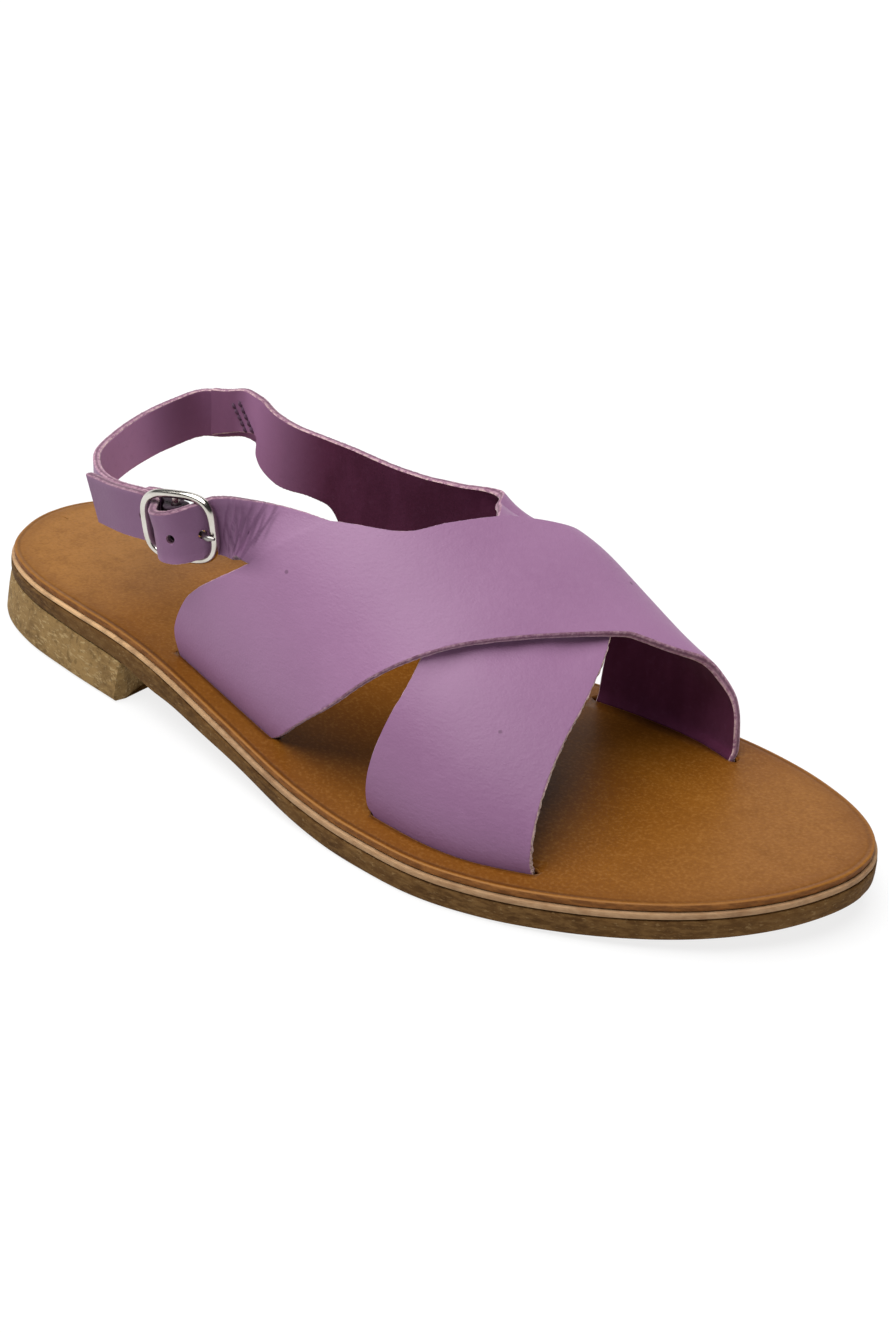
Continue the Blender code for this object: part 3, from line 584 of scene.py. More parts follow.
def fold_rows(rows, count, columns):
    """Grid of places on the last: fold lines resampled, each split across the strap."""
    folds = through(rows, count)
    return folds[:, None, :2] + columns[None, :, None] * (folds[:, None, 2:] - folds[:, None, :2])


def sunk(grid):
    """A strap's grid with rows added that take its end straight down through the insole."""
    end = np.repeat(grid[-1:], SUNK_ROWS, 0)
    end[..., 2] += np.linspace(0, -INSOLE, SUNK_ROWS + 1)[1:, None]
    return np.concatenate((grid, end))


def forked_strap(trunk, foot, lift, swells):
    """Grids of a strap's trunk and of the foot it forks into: fold lines on the last, the trunk's
    first rows bent so that they start from the two lines of the fork."""
    columns = np.concatenate((EAR_PART * EAR_COLUMNS, EAR_PART + (1 - EAR_PART) * FOOT_COLUMNS[1:]))
    trunk_grid = fold_rows(trunk, TRUNK_ROWS, columns)
    foot_grid = fold_rows(foot, FOOT_ROWS, FOOT_COLUMNS)
    ear_root = trunk[0, :2] + EAR_COLUMNS[:, None] * (foot[0, :2] - trunk[0, :2])
    root = np.concatenate((ear_root, foot_grid[0, 1:]))
    fade = np.clip(1 - np.linspace(0, 1, TRUNK_ROWS) / FORK_FADE, 0, 1) ** 2
    trunk_grid += fade[:, None, None] * (root - trunk_grid[0])[None]
    return [sunk(over_last(grid[..., 0], grid[..., 1], lift, swells)) for grid in (trunk_grid, foot_grid)]


def pressed(grid, depth):
    """A grid moved along its own normal, the cross product of its row and column steps."""
    normal = unit(np.cross(np.gradient(grid, axis=1), np.gradient(grid, axis=0)))
    return grid + depth[..., None] * normal


def leather(name, grids, thickness, materials, seed):
    """Leather sheet: the grids' middle surface moved out and in by half the hide along its
    normals, and a raw rim between them, swollen as 1 - a^4 across the hide and a little ragged.
    The attribute across is 1 on the grain side, -1 on the flesh side; another is 1 on rims that
    look to the toe and the medial side, more ragged and painted paler: frayed fibres and painted light."""
    middle, quads = joined(grids)
    corners = middle[quads]
    facing = np.cross(corners[:, 2] - corners[:, 0], corners[:, 3] - corners[:, 1])
    normal = np.zeros_like(middle)
    np.add.at(normal, quads, facing[:, None])
    normal = unit(normal)
    count = len(middle)
    edges = np.stack((quads, np.roll(quads, -1, 1)), -1).reshape(-1, 2)
    open_edge = ~np.isin(edges[:, 0] * count + edges[:, 1], edges[:, 1] * count + edges[:, 0])
    start, end = edges[open_edge].T
    outward = np.zeros_like(middle)
    side = np.cross(middle[end] - middle[start], normal[start])
    np.add.at(outward, start, side)
    np.add.at(outward, end, side)
    border = np.unique(start)
    outward = unit(outward[border])
    spot = np.zeros(count, int)
    spot[border] = np.arange(len(border))
    across = np.linspace(1, -1, RIM_LINES + 2)[1:-1]
    fray_and_light = np.clip(2 * outward[:, 0], 0, 1) * np.clip(2 * outward[:, 1], 0, 1)
    fuzz = np.random.default_rng(seed).uniform(-RIM_FUZZ, RIM_FUZZ, (RIM_LINES, len(border)))
    swell = RIM_BULGE * (1 - across[:, None] ** 4) + fuzz * (1 + FRAYED_FUZZ * fray_and_light)
    rim = middle[border] + across[:, None, None] * normal[border] * thickness / 2 + swell[..., None] * outward
    grain_side, flesh_side = middle + normal * thickness / 2, middle - normal * thickness / 2
    points = np.concatenate((grain_side, flesh_side, rim.reshape(-1, 3)))
    rim_rows = [2 * count + line * len(border) + spot for line in range(RIM_LINES)]
    ring = [np.arange(count), *rim_rows, count + np.arange(count)]
    walls = [np.stack((a[end], a[start], b[start], b[end]), 1) for a, b in zip(ring, ring[1:])]
    faces = np.concatenate((quads, count + quads[:, ::-1], *walls))
    piece = add_piece(name, points, faces, materials, LEATHER_SHARP)
    kinds = np.repeat((0, 1, 2), (len(quads), len(quads), len(faces) - 2 * len(quads)))
    piece.data.polygons.foreach_set("material_index", kinds.astype(np.int32))
    mark(piece, "across", np.concatenate((np.ones(count), -np.ones(count), np.repeat(across, len(border)))))
    mark(piece, "fray_and_light", np.concatenate((np.zeros(2 * count), np.tile(fray_and_light, RIM_LINES))))
    return piece


strap_grain, shader, place = finish("strap_grain", Specular_IOR_Level=0.3)
clouds = place.noise(22, 4, 0.55)
pebble = place.cells(1700)
creases = place.noise(420, 4, 0.6)
wrinkles = place.stretch(0.6, 0.75, 1.5).noise(900, 3, 0.6)
specks = place.cells(55).ramp(0.034, 0.02)
# Painted shade, kept by each strap as a vertex attribute: darker on the under strap's lower part, on the over
# strap's ear and in its creases, and nearly black on the heel strap's fold in the buckle's hollow.
painted_shade = place.attribute("crease_and_shade")
hide = clouds.ramp(0.3, 0.7).mix(tint(141, 102, 135), tint(135, 96, 129))
hide = (creases.ramp(0.45, 0.75) * 0.2).mix(hide, tint(149, 111, 143))
hide = (specks * 0.6).mix(hide, tint(86, 56, 80))
hide = painted_shade.mix(hide, tint(74, 40, 70))
hide = painted_shade.ramp(0.82, 1.0).mix(hide, tint(26, 10, 22))
feed(shader, Base_Color=hide, Roughness=0.44 + creases * 0.16,
     Normal=(pebble * 0.4 + creases * 0.5 + wrinkles * 1.2).relief(0.1 * MM, 0.75))

strap_flesh, shader, place = finish("strap_flesh", Specular_IOR_Level=0.1, Sheen_Weight=0.04,
                                    Sheen_Roughness=0.6)
nap = place.noise(520, 5, 0.7)
brushed = place.stretch(1, 1, 0.4).noise(120, 4, 0.6)
along = place.axis("X")
sideways = place.axis("Y")
# Painted light and shade on the flesh side: lighter towards the heel, where light reaches in, and darker
# towards the vamp and on the medial side near the heel strap's lap, which lie in shade.
painted_shade_spot = along.ramp(-62 * MM, -72 * MM) * sideways.ramp(8 * MM, 22 * MM)
painted_heel_light = along.ramp(-37 * MM, -73 * MM) * (1 - painted_shade_spot * 0.68)
hide = brushed.ramp(0.35, 0.65).mix(tint(88, 38, 66), tint(78, 30, 56))
hide = (painted_heel_light * 0.9).mix(hide, tint(182, 132, 174))
# Painted light: the inside of the heel strap's loop at the back is painted lighter still.
hide = (along.ramp(-76 * MM, -86 * MM) * sideways.ramp(14 * MM, 2 * MM) * 0.6).mix(hide, tint(214, 160, 204))
hide = (nap.ramp(0.5, 0.8) * (0.1 + painted_heel_light * 0.2)).mix(hide, tint(142, 98, 132))
feed(shader, Base_Color=hide, Roughness=0.8 + nap * 0.15, Normal=nap.relief(0.12 * MM, 0.6))

strap_rim, shader, place = finish("strap_rim", Specular_IOR_Level=0.15, Sheen_Weight=0.2)
across = place.attribute("across")
fibres = place.noise(900, 4, 0.7)
strands = place.noise(260, 4, 0.65)
hide = fibres.ramp(0.35, 0.7).mix(tint(134, 92, 116), tint(182, 146, 160))
hide = (abs(across - 0.15 + fibres * 0.7 - 0.35).ramp(0.5, 0.15) * 0.65).mix(hide, tint(82, 48, 68))
hide = (strands.ramp(0.55, 0.75) * 0.35).mix(hide, tint(110, 72, 90))
hide = (across.ramp(-0.5, -0.9) * fibres.ramp(0.4, 0.6) * 0.7).mix(hide, tint(206, 178, 172))
# Frayed fibres and painted light: rims that look to the toe and the medial side are painted paler.
fray_and_light = place.attribute("fray_and_light")
hide = (fray_and_light * fibres.ramp(0.3, 0.55)).mix(hide, tint(226, 198, 180))
# Painted shade on the rims, from the same attribute as on the grain.
painted_shade = place.attribute("crease_and_shade")
hide = painted_shade.mix(hide, tint(40, 18, 36))
feed(shader, Base_Color=hide, Roughness=0.82 + fibres * 0.12, Normal=(fibres + strands).relief(0.2 * MM, 0.8))

hides = [strap_grain, strap_flesh, strap_rim]
under_trunk, under_foot = forked_strap(UNDER_TRUNK, UNDER_FOOT, UNDER_LIFT, UNDER_SWELLS)
ear = fold_rows(UNDER_EAR, EAR_ROWS, EAR_COLUMNS)
under_ear = over_last(ear[..., 0], ear[..., 1], UNDER_LIFT, UNDER_SWELLS)
under_ear[0] = under_trunk[0, :len(EAR_COLUMNS)]
under_strap = leather("under_strap", [under_trunk[:, ::-1], under_foot, under_ear], STRAP, hides, 3)
# Painted shade: the under strap is painted darker towards the bottom, below the over strap.
below = (UNDER_SHADE_FROM - vertices(under_strap)[:, 2]) / UNDER_SHADE_DROP
mark(under_strap, "crease_and_shade", UNDER_SHADE * np.clip(below, 0, 1))
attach(under_strap, "root")
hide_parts("upper")

# Over strap: the same lilac cowhide, laid across the first from the lateral waist to the medial
# forefoot. Its lateral ear narrows to a punched tongue, creased where it bends to the buckle.
OVER_TRUNK = np.array([
    # rear along, rear turn, front along, front turn
    (0.486, 54.8, 0.572, 22.6), (0.540, 63.6, 0.610, 38.4), (0.562, 74.8, 0.6365, 49.3),
    (0.581, 87.6, 0.670, 63.4), (0.600, 104.2, 0.710, 83.3), (0.615, 116.0, 0.754, 107.0),
    (0.632, 131.0, 0.787, 134.0), (0.660, 152.0, 0.808, 158.0), (0.664, 180.0, 0.817, 180.0),
])
OVER_FOOT = np.array([
    # rear along, rear turn, front along, front turn
    (0.433, 33.8, 0.572, 22.6), (0.415, 28.6, 0.562, 19.0), (0.396, 23.6, 0.551, 15.6),
    (0.368, 16.6, 0.538, 12.0), (0.353, 12.1, 0.525, 8.5), (0.340, 6.5, 0.511, 4.6),
    (0.338, 3.4, 0.501, 2.0), (0.345, 0.0, 0.491, 0.0),
])
OVER_SWELLS = (
    # along, turn, reach along, reach in turn, height in mm
    (0.640, 122.0, 0.040, 20.0, 0.8), (0.785, 138.0, 0.055, 16.0, -1.5), (0.825, 142.0, 0.035, 18.0, 2.8),
    (0.735, 95.0, 0.040, 26.0, 0.8), (0.785, 124.0, 0.035, 16.0, 1.4),
)
OVER_EAR_ROOT = np.array([
    # top along, top turn, bottom along, bottom turn
    (0.486, 54.8, 0.433, 33.8), (0.446, 51.4, 0.420, 32.7),
])
OVER_EAR = np.array([
    # forward, up and out from the ear's plane in the buckle's frame, in mm: top edge, bottom edge
    (15.5, 6.6, -2.5, 14.5, -7.2, 0.3), (9.6, 7.0, 0.0, 9.9, -6.6, 0.0), (6.0, 6.0, 0.0, 6.0, -7.0, 0.0),
    (0.0, 5.0, 0.0, 0.0, -7.4, 0.0), (-6.0, 4.9, 0.0, -6.0, -6.6, 0.0), (-8.6, 5.0, 0.0, -8.6, -6.2, 0.0),
    (-13.0, 5.9, -0.3, -13.0, -5.8, -0.3), (-22.0, 6.2, -2.0, -21.5, -5.6, -2.0),
    (-34.2, 6.6, -6.3, -32.3, -5.4, -6.0),
])
EAR_CREASES = np.array([
    # forward of the buckle's middle at the top and bottom edge, half width and depth in mm;
    # from and to parts of the ear's width, from its top edge down
    (12.4, 11.8, 0.30, 0.14, 0.1, 0.9), (13.3, 12.3, 0.32, 0.20, -0.2, 0.7),
    (14.2, 12.9, 0.28, 0.16, 0.3, 1.2), (15.1, 13.3, 0.35, 0.22, -0.2, 0.85),
    (16.2, 14.2, 0.28, 0.16, 0.2, 1.2), (17.2, 14.8, 0.38, 0.24, -0.2, 0.9),
    (18.3, 15.7, 0.30, 0.18, 0.15, 0.7), (19.4, 16.2, 0.40, 0.22, -0.2, 1.2),
    (20.5, 17.2, 0.32, 0.16, 0.1, 0.8), (21.8, 18.0, 0.42, 0.22, -0.2, 0.9),
    (23.1, 18.9, 0.35, 0.16, 0.05, 0.8), (24.6, 19.8, 0.45, 0.18, -0.2, 0.7),
    (26.4, 20.8, 0.50, 0.12, 0.05, 0.6),
])
EAR_WIDTH = 13 * MM
EAR_ABOVE = 0.46           # part of the ear's width above the buckle's middle
CREASE_WAVE = 0.35 * MM
CREASE_WAVES = 1.3         # waves across the ear
CREASE_SHIFT = 0.37        # part of a wave from one crease to the next
CREASE_END = 0.15          # part of the ear's width over which a crease fades
BUCKLE_PLACE = np.array([86.5, -30.2, 51.2]) * MM
BUCKLE_TILT, BUCKLE_YAW = np.radians((8.5, -8.0))
FORWARD = np.array([np.cos(BUCKLE_TILT) * np.cos(BUCKLE_YAW), -np.cos(BUCKLE_TILT) * np.sin(BUCKLE_YAW),
                    np.sin(BUCKLE_TILT)])
OUT = unit(np.cross(FORWARD, (0.0, 0.0, 1.0)))
UP = np.cross(OUT, FORWARD)
EAR_REACH = 9.3 * MM
EAR_BULGE = 7.4 * MM
EAR_OUT = -2.5 * MM
EAR_LEAN = 0.25
HOLE_RADIUS = 1.1 * MM
HOLES = np.array([
    # forward and up in the buckle's frame, in mm; the prong is in the first
    (6.3, -1.3), (1.4, -1.3), (-4.6, -0.6), (-12.6, 0.2),
]) * MM
EAR_HOLLOW = 0.8 * MM
EAR_HOLLOW_AT, EAR_HOLLOW_REACH = 17 * MM, 5 * MM
EAR_FORK_ROWS = 50         # rows over which the creases begin
FOOT_FOLD = 0.8 * MM
FOOT_FOLD_HEIGHT = 2.2 * MM
FOOT_FOLD_FROM = 10 * MM   # fold only on the medial side, full from twice this far
EAR_SHADES = np.array([
    # darkening, and the place forward of the buckle's middle behind which it sets in, and over
    # what length, in mm: the tongue, its tip
    (0.33, 14, 3), (0.1, -8, 6),
])
BEND_SHADE = 0.6           # darkening of the bend to the buckle, a slanted band
BEND_AT, BEND_REACH, BEND_SLANT, BEND_LIFT = 18, 6, 0.3, 1
SHADE_HALF, SHADE_EDGE = 9, 4  # mm up and down from the buckle's middle, and the fade there
CREASE_SHADE = 0.36 * MM   # depth of a crease that is fully dark
SHADE_MOST = 0.8


def in_buckle(forward, up, out):
    """Points given along the buckle's own axes: forward on the strap, up across it, out of it."""
    forward, up, out = np.broadcast_arrays(forward, up, out)
    return BUCKLE_PLACE + forward[..., None] * FORWARD + up[..., None] * UP + out[..., None] * OUT


def ear_out(forward):
    """The ear's middle out of the buckle's plane: a swell over the centre bar that falls away with
    the cube of a sine."""
    return EAR_OUT + EAR_BULGE * (1 - np.sin(np.pi / 2 * np.clip(np.abs(forward) / EAR_REACH, 0, 1)) ** 3)


def crease_depth(points, creases):
    """Depth at points of slanted, wavy troughs of bell-shaped section, each a line across a part of
    the ear that fades at its ends."""
    forward = ((points - BUCKLE_PLACE) @ FORWARD)[..., None]
    part = np.clip(EAR_ABOVE - ((points - BUCKLE_PLACE) @ UP)[..., None] / EAR_WIDTH, 0, 1)
    top, bottom, width, depth = (creases[:, :4] * MM).T
    start, stop = creases[:, 4:].T
    wave = CREASE_WAVE * np.sin(2 * np.pi * (CREASE_WAVES * part + CREASE_SHIFT * np.arange(len(creases))))
    ends = np.clip((part - start) / CREASE_END, 0, 1) * np.clip((stop - part) / CREASE_END, 0, 1)
    return (ends * depth * np.exp(-((forward - top - part * (bottom - top) - wave) / width) ** 2)).sum(-1)


def tube(path, side, width, depth, closed=False, sides=24):
    """Oval bar along a path: side points across it, width and depth are its half sizes. The
    ends of an open bar close in two quick rings to a point."""
    tangent = np.roll(path, -1, 0) - np.roll(path, 1, 0) if closed else np.gradient(path, axis=0)
    other = np.cross(unit(tangent), side)
    angle = np.linspace(0, 2 * np.pi, sides + 1)[None, :, None]
    rings = path[:, None] + np.cos(angle) * (side * width)[:, None] + np.sin(angle) * (other * depth)[:, None]
    if closed:
        return np.concatenate((rings, rings[:1]))
    ends = [path[i] + part * (rings[i] - path[i]) for i, part in ((0, 0.0), (0, 0.6), (-1, 0.6), (-1, 0.0))]
    return np.concatenate((ends[0][None], ends[1][None], rings, ends[2][None], ends[3][None]))


def hole_cutter(forward, up):
    """Grid of a round punch through the ear, square to its surface there."""
    step = 0.1 * MM
    slope = (ear_out(forward + step) - ear_out(forward - step)) / (2 * step)
    way = unit(OUT - slope * FORWARD)
    middle = in_buckle(forward, up, ear_out(forward))
    path = middle + np.linspace(-2, 2, 5)[:, None] * STRAP * way
    return tube(path, np.broadcast_to(UP, path.shape), HOLE_RADIUS, HOLE_RADIUS)


over_trunk, over_foot = forked_strap(OVER_TRUNK, OVER_FOOT, OVER_LIFT, OVER_SWELLS)
height = np.clip((over_trunk[..., 2] - seat(over_trunk[..., 0])) / FOOT_FOLD_HEIGHT, 0, None)
medial = np.clip(over_trunk[..., 1] / FOOT_FOLD_FROM - 1, 0, 1)
over_trunk = pressed(over_trunk, FOOT_FOLD * medial * height * np.exp(1 - height))
root = np.stack([over_last(OVER_EAR_ROOT[:, i], OVER_EAR_ROOT[:, i + 1], OVER_LIFT, OVER_SWELLS)
                 for i in (0, 2)], 1)
flat = OVER_EAR * MM
tongue = np.stack([in_buckle(flat[:, i], flat[:, i + 1], EAR_OUT + flat[:, i + 2]) for i in (0, 3)], 1)
rows = np.concatenate((root, tongue))
ear_edges = through(rows, EAR_ROWS)
ear_across = ear_edges[:, None, 1] - ear_edges[:, None, 0]
over_ear = ear_edges[:, None, 0] + EAR_COLUMNS[None, :, None] * ear_across
fade = np.clip(1 - np.linspace(0, len(rows) - 1, EAR_ROWS) / len(root), 0, 1) ** 2
over_ear += fade[:, None, None] * (over_trunk[0, :len(EAR_COLUMNS)] - over_ear[0])[None]
bulge = ear_out((over_ear - BUCKLE_PLACE) @ FORWARD) - EAR_OUT
lean = EAR_LEAN * np.clip((over_ear - BUCKLE_PLACE) @ UP, 0, None) * bulge / EAR_BULGE
over_ear += (bulge + lean)[..., None] * OUT
from_fork = np.clip(np.arange(EAR_ROWS) / EAR_FORK_ROWS, 0, 1)[:, None] ** 2
hollow = EAR_HOLLOW * np.exp(-(((over_ear - BUCKLE_PLACE) @ FORWARD - EAR_HOLLOW_AT) / EAR_HOLLOW_REACH) ** 2)
over_ear = pressed(over_ear, -from_fork * (hollow + crease_depth(over_ear, EAR_CREASES)))
over_strap = leather("over_strap", [over_trunk, over_foot[:, ::-1], over_ear[:, ::-1]], STRAP, hides, 5)
points = vertices(over_strap)
forward, up = (points - BUCKLE_PLACE) @ FORWARD / MM, (points - BUCKLE_PLACE) @ UP / MM
# Painted shade on the ear: darker on the tongue behind the buckle and at its tip, on a slanted band where it
# bends to the buckle, and in its creases.
dusk = sum(shade * np.clip((start - forward) / fall, 0, 1) for shade, start, fall in EAR_SHADES)
dusk += BEND_SHADE * np.exp(-((forward - BEND_AT + BEND_SLANT * (up + BEND_LIFT)) / BEND_REACH) ** 2)
dusk += crease_depth(points, EAR_CREASES) / CREASE_SHADE
on_ear = np.clip((up + SHADE_HALF) / SHADE_EDGE, 0, 1) * np.clip((SHADE_HALF - up) / SHADE_EDGE, 0, 1)
mark(over_strap, "crease_and_shade", on_ear * np.clip(dusk, 0, SHADE_MOST))
cut_out(over_strap, [hole_cutter(*hole) for hole in HOLES])
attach(over_strap, "root")
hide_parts("upper")

# Heel strap: a narrow band of the same cowhide, sewn on the medial ear, slack round the heel,
# and turned back round the buckle's centre bar on the lateral side.
HEEL_STRAP = 1.8 * MM
HEEL_STRAP_LIFT = UNDER_LIFT + STRAP / 2 + GAP + HEEL_STRAP / 2
HEEL_STRAP_LAP = np.array([
    # along, top turn, bottom turn
    (0.266, 157.8, 165.0), (0.222, 156.6, 163.8), (0.182, 158.6, 165.6),
])
HEEL_STRAP_LOOP = np.array([
    # x, y, bottom z, top z, in mm
    (39.2, 23.4, 46.9, 59.6), (35.0, 16.5, 44.6, 57.3), (33.7, 6.5, 42.6, 55.2), (35.4, -4.0, 41.0, 53.4),
    (40.0, -14.0, 40.0, 52.4), (48.0, -21.0, 40.0, 52.3),
])
HEEL_STRAP_FOLD = np.array([
    # forward and out in the buckle's frame, in mm: to the bar and back again
    (-24.0, -7.6), (-15.0, -5.4), (-9.3, -4.7), (-4.4, -2.5), (-1.485, 1.485), (0.0, 2.1), (1.485, 1.485),
    (2.1, 0.0), (1.485, -1.485), (0.0, -2.1), (-4.4, -5.4), (-9.3, -7.2), (-15.0, -7.9),
])
HEEL_STRAP_HALF = np.array([5.8, 5.8, 5.6, 5.2, 5.0, 5.0, 5.0, 5.0, 5.0, 5.0, 5.0, 5.2, 5.2]) * MM
FOLD_FORWARD, FOLD_FORWARD_FADE = -11, 4  # mm along the buckle's axes where the fold goes dark
FOLD_OUT, FOLD_OUT_FADE = -4.5, 1.5
HEEL_STRAP_ROWS = 420
HEEL_STRAP_COLUMNS = spread(15)

lap_along = HEEL_STRAP_LAP[:, 0]
lap = np.stack([over_last(lap_along, HEEL_STRAP_LAP[:, i], HEEL_STRAP_LIFT) for i in (1, 2)], 1)
loop = np.stack([HEEL_STRAP_LOOP[:, (0, 1, i)] * MM for i in (3, 2)], 1)
bend = HEEL_STRAP_FOLD * MM
fold = np.stack([in_buckle(bend[:, 0], side * HEEL_STRAP_HALF, bend[:, 1]) for side in (1, -1)], 1)
rows = np.concatenate((lap, loop, fold))
station = np.concatenate(([0], np.cumsum(np.linalg.norm(np.diff(rows.mean(1), axis=0), axis=1))))
band = smooth(np.linspace(0, station[-1], HEEL_STRAP_ROWS), station, rows.reshape(-1, 6)).reshape(-1, 2, 3)
band = band[:, None, 0] + HEEL_STRAP_COLUMNS[None, :, None] * (band[:, None, 1] - band[:, None, 0])
heel_strap = leather("heel_band", [band], HEEL_STRAP, hides, 8)
points = vertices(heel_strap)
forward, out = (points - BUCKLE_PLACE) @ FORWARD / MM, (points - BUCKLE_PLACE) @ OUT / MM
# Painted shade: the heel strap's fold round the centre bar, in the buckle's hollow, is painted dark.
dusk = np.clip((forward - FOLD_FORWARD) / FOLD_FORWARD_FADE, 0, 1)
mark(heel_strap, "crease_and_shade", dusk * np.clip((out - FOLD_OUT) / FOLD_OUT_FADE, 0, 1))
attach(heel_strap, "root")
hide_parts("heel_strap")

# Stitches: two slanted rows of waxed dark purple thread, sewn by machine through the heel strap
# and the medial ear's tab, and seen on the inside and the outside of the lap.
STITCH_ROWS = np.array([
    # from along, from turn, to along, to turn
    (0.2097, 158.6, 0.2300, 162.3), (0.2185, 157.7, 0.2400, 161.9),
])
STITCHES = 5
STITCH_RADIUS = 0.42 * MM
STITCH_RISE = 0.5 * MM
STITCH_SINK = 0.35         # part of the rise by which its ends sink into the leather
STITCH_START, STITCH_PART = 0.14, 0.72  # parts of a stitch's stretch of the row
STITCH_POINTS = 7
STITCH_SIDES = 8

thread, shader, place = finish("thread", Sheen_Weight=0.1)
twist = place.noise(1800, 2)
feed(shader, Base_Color=twist.mix(tint(62, 30, 56), tint(92, 54, 84)), Roughness=0.6 + twist * 0.2,
     Normal=twist.relief(0.08 * MM, 0.6))


def stitch(row, number, low, rise):
    """Tube of one stitch: a stretch of its row on the last, arched by a half sine off the leather."""
    part = np.linspace(0, 1, STITCH_POINTS)
    at = row[:2] + ((number + STITCH_START + STITCH_PART * part) / STITCHES)[:, None] * (row[2:] - row[:2])
    path = over_last(at[:, 0], at[:, 1], low + rise * (np.sin(np.pi * part) - STITCH_SINK))
    side = unit(np.cross(np.gradient(path, axis=0), over_last(at[:, 0], at[:, 1], 1.0) - path))
    return tube(path, side, STITCH_RADIUS, STITCH_RADIUS, sides=STITCH_SIDES)


faces_of_lap = ((UNDER_LIFT - STRAP / 2, -STITCH_RISE), (HEEL_STRAP_LIFT + HEEL_STRAP / 2, STITCH_RISE))
sewn = [stitch(row, number, low, rise) for row in STITCH_ROWS for number in range(STITCHES)
        for low, rise in faces_of_lap]
stitches = add_piece("stitches", *joined(sewn), [thread])
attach(stitches, "root")

# Buckle: a rounded frame of polished nickel-plated wire with a straight centre bar, and a
# prong hooked round the bar, through the ear's hole, with its tip on the front bar.
BUCKLE_HALF = np.array([10.1, 7.9]) * MM
BUCKLE_DROP = 0.25 * MM
BUCKLE_POWER = 3.4
WIRE_HALF = 1.0 * MM
WIRE_DEEP = 1.2 * MM
WIRE_POINTS = 120
BAR_RADIUS = 0.9 * MM
BAR_POINTS = 12
PRONG_RADIUS = 0.7 * MM
PRONG_POINTS = 90
PRONG_TIP, PRONG_TIP_POINTS = 0.5, 6  # part of its radius at the tip, and where the tip begins
HOOK_REACH = 1.9           # mm from the centre bar's middle
HOOK_FROM, HOOK_TO, HOOK_POINTS = 60, 270, 9  # degrees round the bar
PRONG_RUN = np.array([
    # forward and out in the buckle's frame, in mm
    (3.465, -1.425), (6.3, -0.05), (7.7, 0.75), (8.7, 1.85), (10.1, 2.25), (11.7, 2.2),
])
nickel, shader, place = finish("nickel", Metallic=1.0)
scratches = place.stretch(1, 1, 0.2).noise(1400, 3, 0.6)
smears = place.noise(160, 3)
feed(shader, Base_Color=smears.ramp(0.35, 0.7).mix(tint(214, 210, 202), tint(196, 190, 180)),
     Roughness=0.1 + scratches * 0.12 + smears * 0.06, Normal=scratches.relief(0.02 * MM, 0.3))

# The wire's path is a superellipse: the power of each side's part of its reach adds up to one.
angle = np.linspace(0, 2 * np.pi, WIRE_POINTS, endpoint=False)
round_way = np.stack((np.cos(angle), np.sin(angle)), 1)
wire = BUCKLE_HALF * np.sign(round_way) * np.abs(round_way) ** (2 / BUCKLE_POWER)
wire = in_buckle(wire[:, 0], wire[:, 1] - BUCKLE_DROP, 0.0)
outward = unit(np.cross(np.roll(wire, -1, 0) - np.roll(wire, 1, 0), OUT))
bar_path = in_buckle(0.0, np.linspace(-1, 1, BAR_POINTS) * BUCKLE_HALF[1] - BUCKLE_DROP, 0.0)
bar = tube(bar_path, np.broadcast_to(FORWARD, bar_path.shape), BAR_RADIUS, BAR_RADIUS)
buckle = add_piece("buckle_wire", *joined([tube(wire, outward, WIRE_HALF, WIRE_DEEP, True), bar]), [nickel])
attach(buckle, "root")
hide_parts("buckle_frame")

# Painted shade: the prong is a darker copy of the buckle's metal, which dims its reflections.
shaded_prong_metal, _, _ = finish("shaded_prong_metal", Metallic=1.0, Roughness=0.28, Base_Color=tint(150, 146, 142))
hook_turn = np.radians(np.linspace(HOOK_FROM, HOOK_TO, HOOK_POINTS))
hook = HOOK_REACH * np.stack((np.cos(hook_turn), np.sin(hook_turn)), 1)
prong_path = through(np.concatenate((hook, PRONG_RUN)) * MM, PRONG_POINTS)
prong_path = in_buckle(prong_path[:, 0], HOLES[0, 1], prong_path[:, 1])
to_tip = np.arange(PRONG_POINTS)[::-1, None]
taper = PRONG_RADIUS * np.interp(to_tip, (0, PRONG_TIP_POINTS), (PRONG_TIP, 1))
prong_bar = tube(prong_path, np.broadcast_to(UP, prong_path.shape), taper, taper)
prong = add_piece("buckle_pin", *joined([prong_bar]), [shaded_prong_metal])
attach(prong, "root")
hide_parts("buckle_prong")

# Studio: a pale floor that sweeps up far away, soft light from overhead, a weak window behind
# for the insole's gloss, and the camera of the photograph, above the toe on the lateral side.
FLOOR_REACH = 8.0          # metres each way, as all sizes of the floor but its drop
FLOOR_LINES = 49
FLOOR_DROP = 0.2 * MM      # clear of the soles
SWEEP_FROM = 5.0
SWEEP_RISE = 0.38
SWEEP_TOP = 3.4
GLOW_FADES_FROM = 1.2
WINDOW_PLACE, WINDOW_BACK = (-0.72, 1.06, 0.74), (-0.516, 0.71, 0.478)
SUN_PLACE, SUN_BACK = (-0.6, -0.3, 1.2), (-0.22, -0.14, 0.96)
floor_paint, shader, place = finish("floor_paint", Roughness=0.9, Emission_Strength=0.8)
height = place.axis("Z")
feed(shader, Base_Color=place.noise(6).mix(tint(106, 106, 106), tint(104, 104, 104)),
     Emission_Color=height.ramp(GLOW_FADES_FROM, SWEEP_TOP).mix(tint(255, 255, 255), tint(200, 200, 200)))

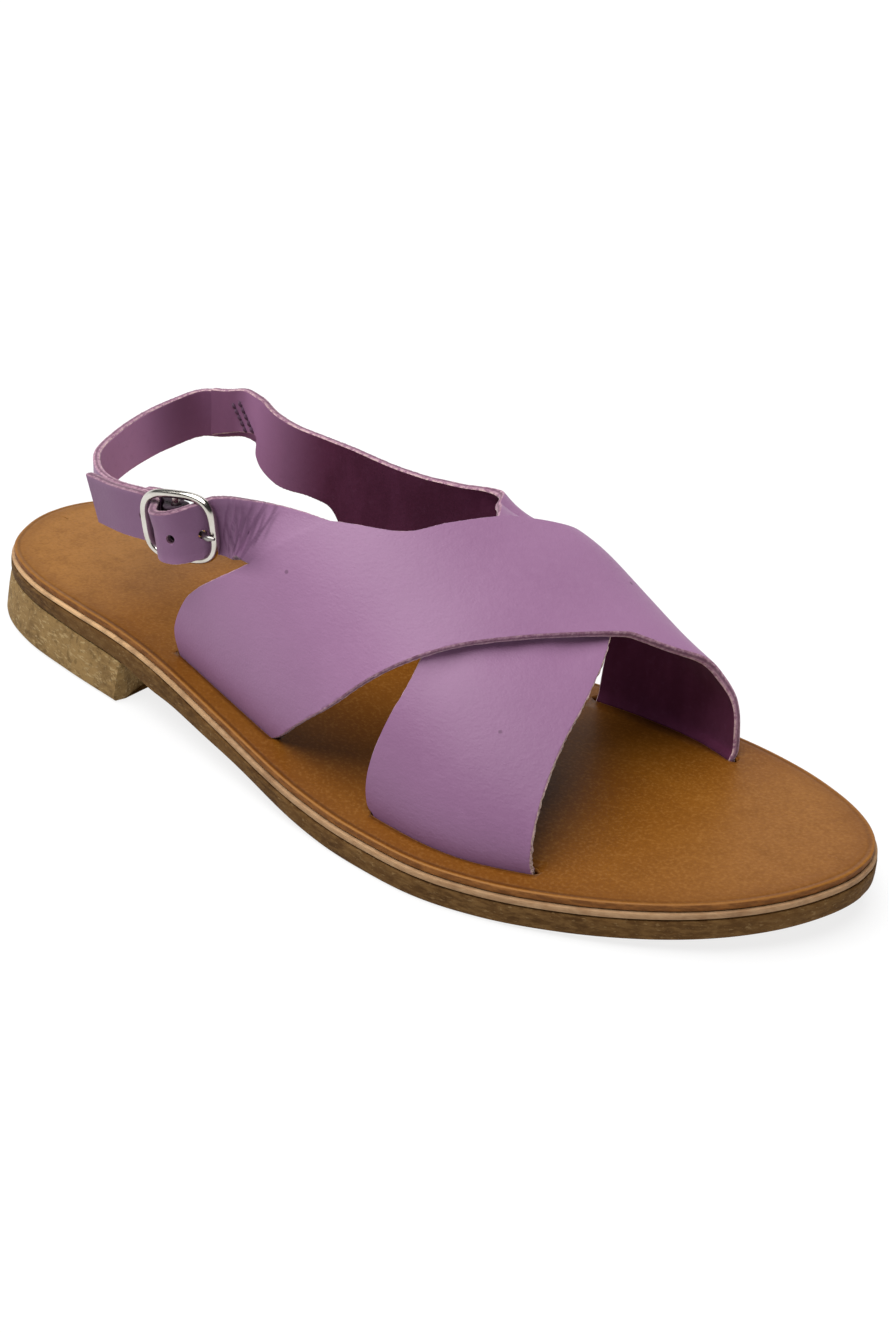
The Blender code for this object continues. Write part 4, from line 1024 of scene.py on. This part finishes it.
# The floor's height grows with the square of the distance past the sweep's start, up to its top.
reach = np.linspace(-FLOOR_REACH, FLOOR_REACH, FLOOR_LINES)
east, north = np.meshgrid(reach, reach, indexing="ij")
sweep = np.clip(SWEEP_RISE * np.clip(np.hypot(east, north) - SWEEP_FROM, 0, None) ** 2, 0, SWEEP_TOP)
ground = np.stack((east, north, sweep - FLOOR_DROP), -1)
floor = add_piece("floor", *joined([ground[:, ::-1]]), [floor_paint])

world = bpy.data.worlds.new("room")
bpy.context.scene.world = world
world.use_nodes = True
world.node_tree.nodes["Background"].inputs["Color"].default_value = (1.0, 1.0, 1.0, 1.0)
world.node_tree.nodes["Background"].inputs["Strength"].default_value = 0.02


def aimed(place, back):
    """Matrix of a lamp at a place, its back turned towards a direction, its side level."""
    back = unit(np.array(back))
    side = unit(np.cross((0.0, 0.0, 1.0), back))
    axes = np.stack((side, np.cross(back, side), back), 1)
    return Matrix.Translation(place) @ Matrix(axes.tolist()).to_4x4()


window = bpy.data.lights.new("window", "AREA")
window.energy = 1.6
window.size = 0.9
pane = bpy.data.objects.new("window", window)
pane.matrix_world = aimed(WINDOW_PLACE, WINDOW_BACK)
bpy.context.scene.collection.objects.link(pane)

daylight = bpy.data.lights.new("daylight", "SUN")
daylight.energy = 4.65
daylight.angle = np.radians(62)
sun = bpy.data.objects.new("daylight", daylight)
sun.matrix_world = aimed(SUN_PLACE, SUN_BACK)
bpy.context.scene.collection.objects.link(sun)

CAMERA_PLACE = np.array([336.84, -265.9, 202.55]) * MM + PLACE
CAMERA_AXES = np.array([
    # right, up, back
    (0.7884, 0.6124, 0.0589), (-0.3348, 0.3469, 0.8761), (0.5161, -0.7104, 0.4785),
])
lens = bpy.data.cameras.new("camera")
lens.lens = 42.63
lens.sensor_width = 36
lens.clip_start = 0.01
camera = bpy.data.objects.new("camera", lens)
camera.matrix_world = Matrix.Translation(CAMERA_PLACE) @ Matrix(CAMERA_AXES.T.tolist()).to_4x4()
bpy.context.scene.collection.objects.link(camera)
bpy.context.scene.camera = camera
bpy.context.scene.view_settings.view_transform = "Standard"
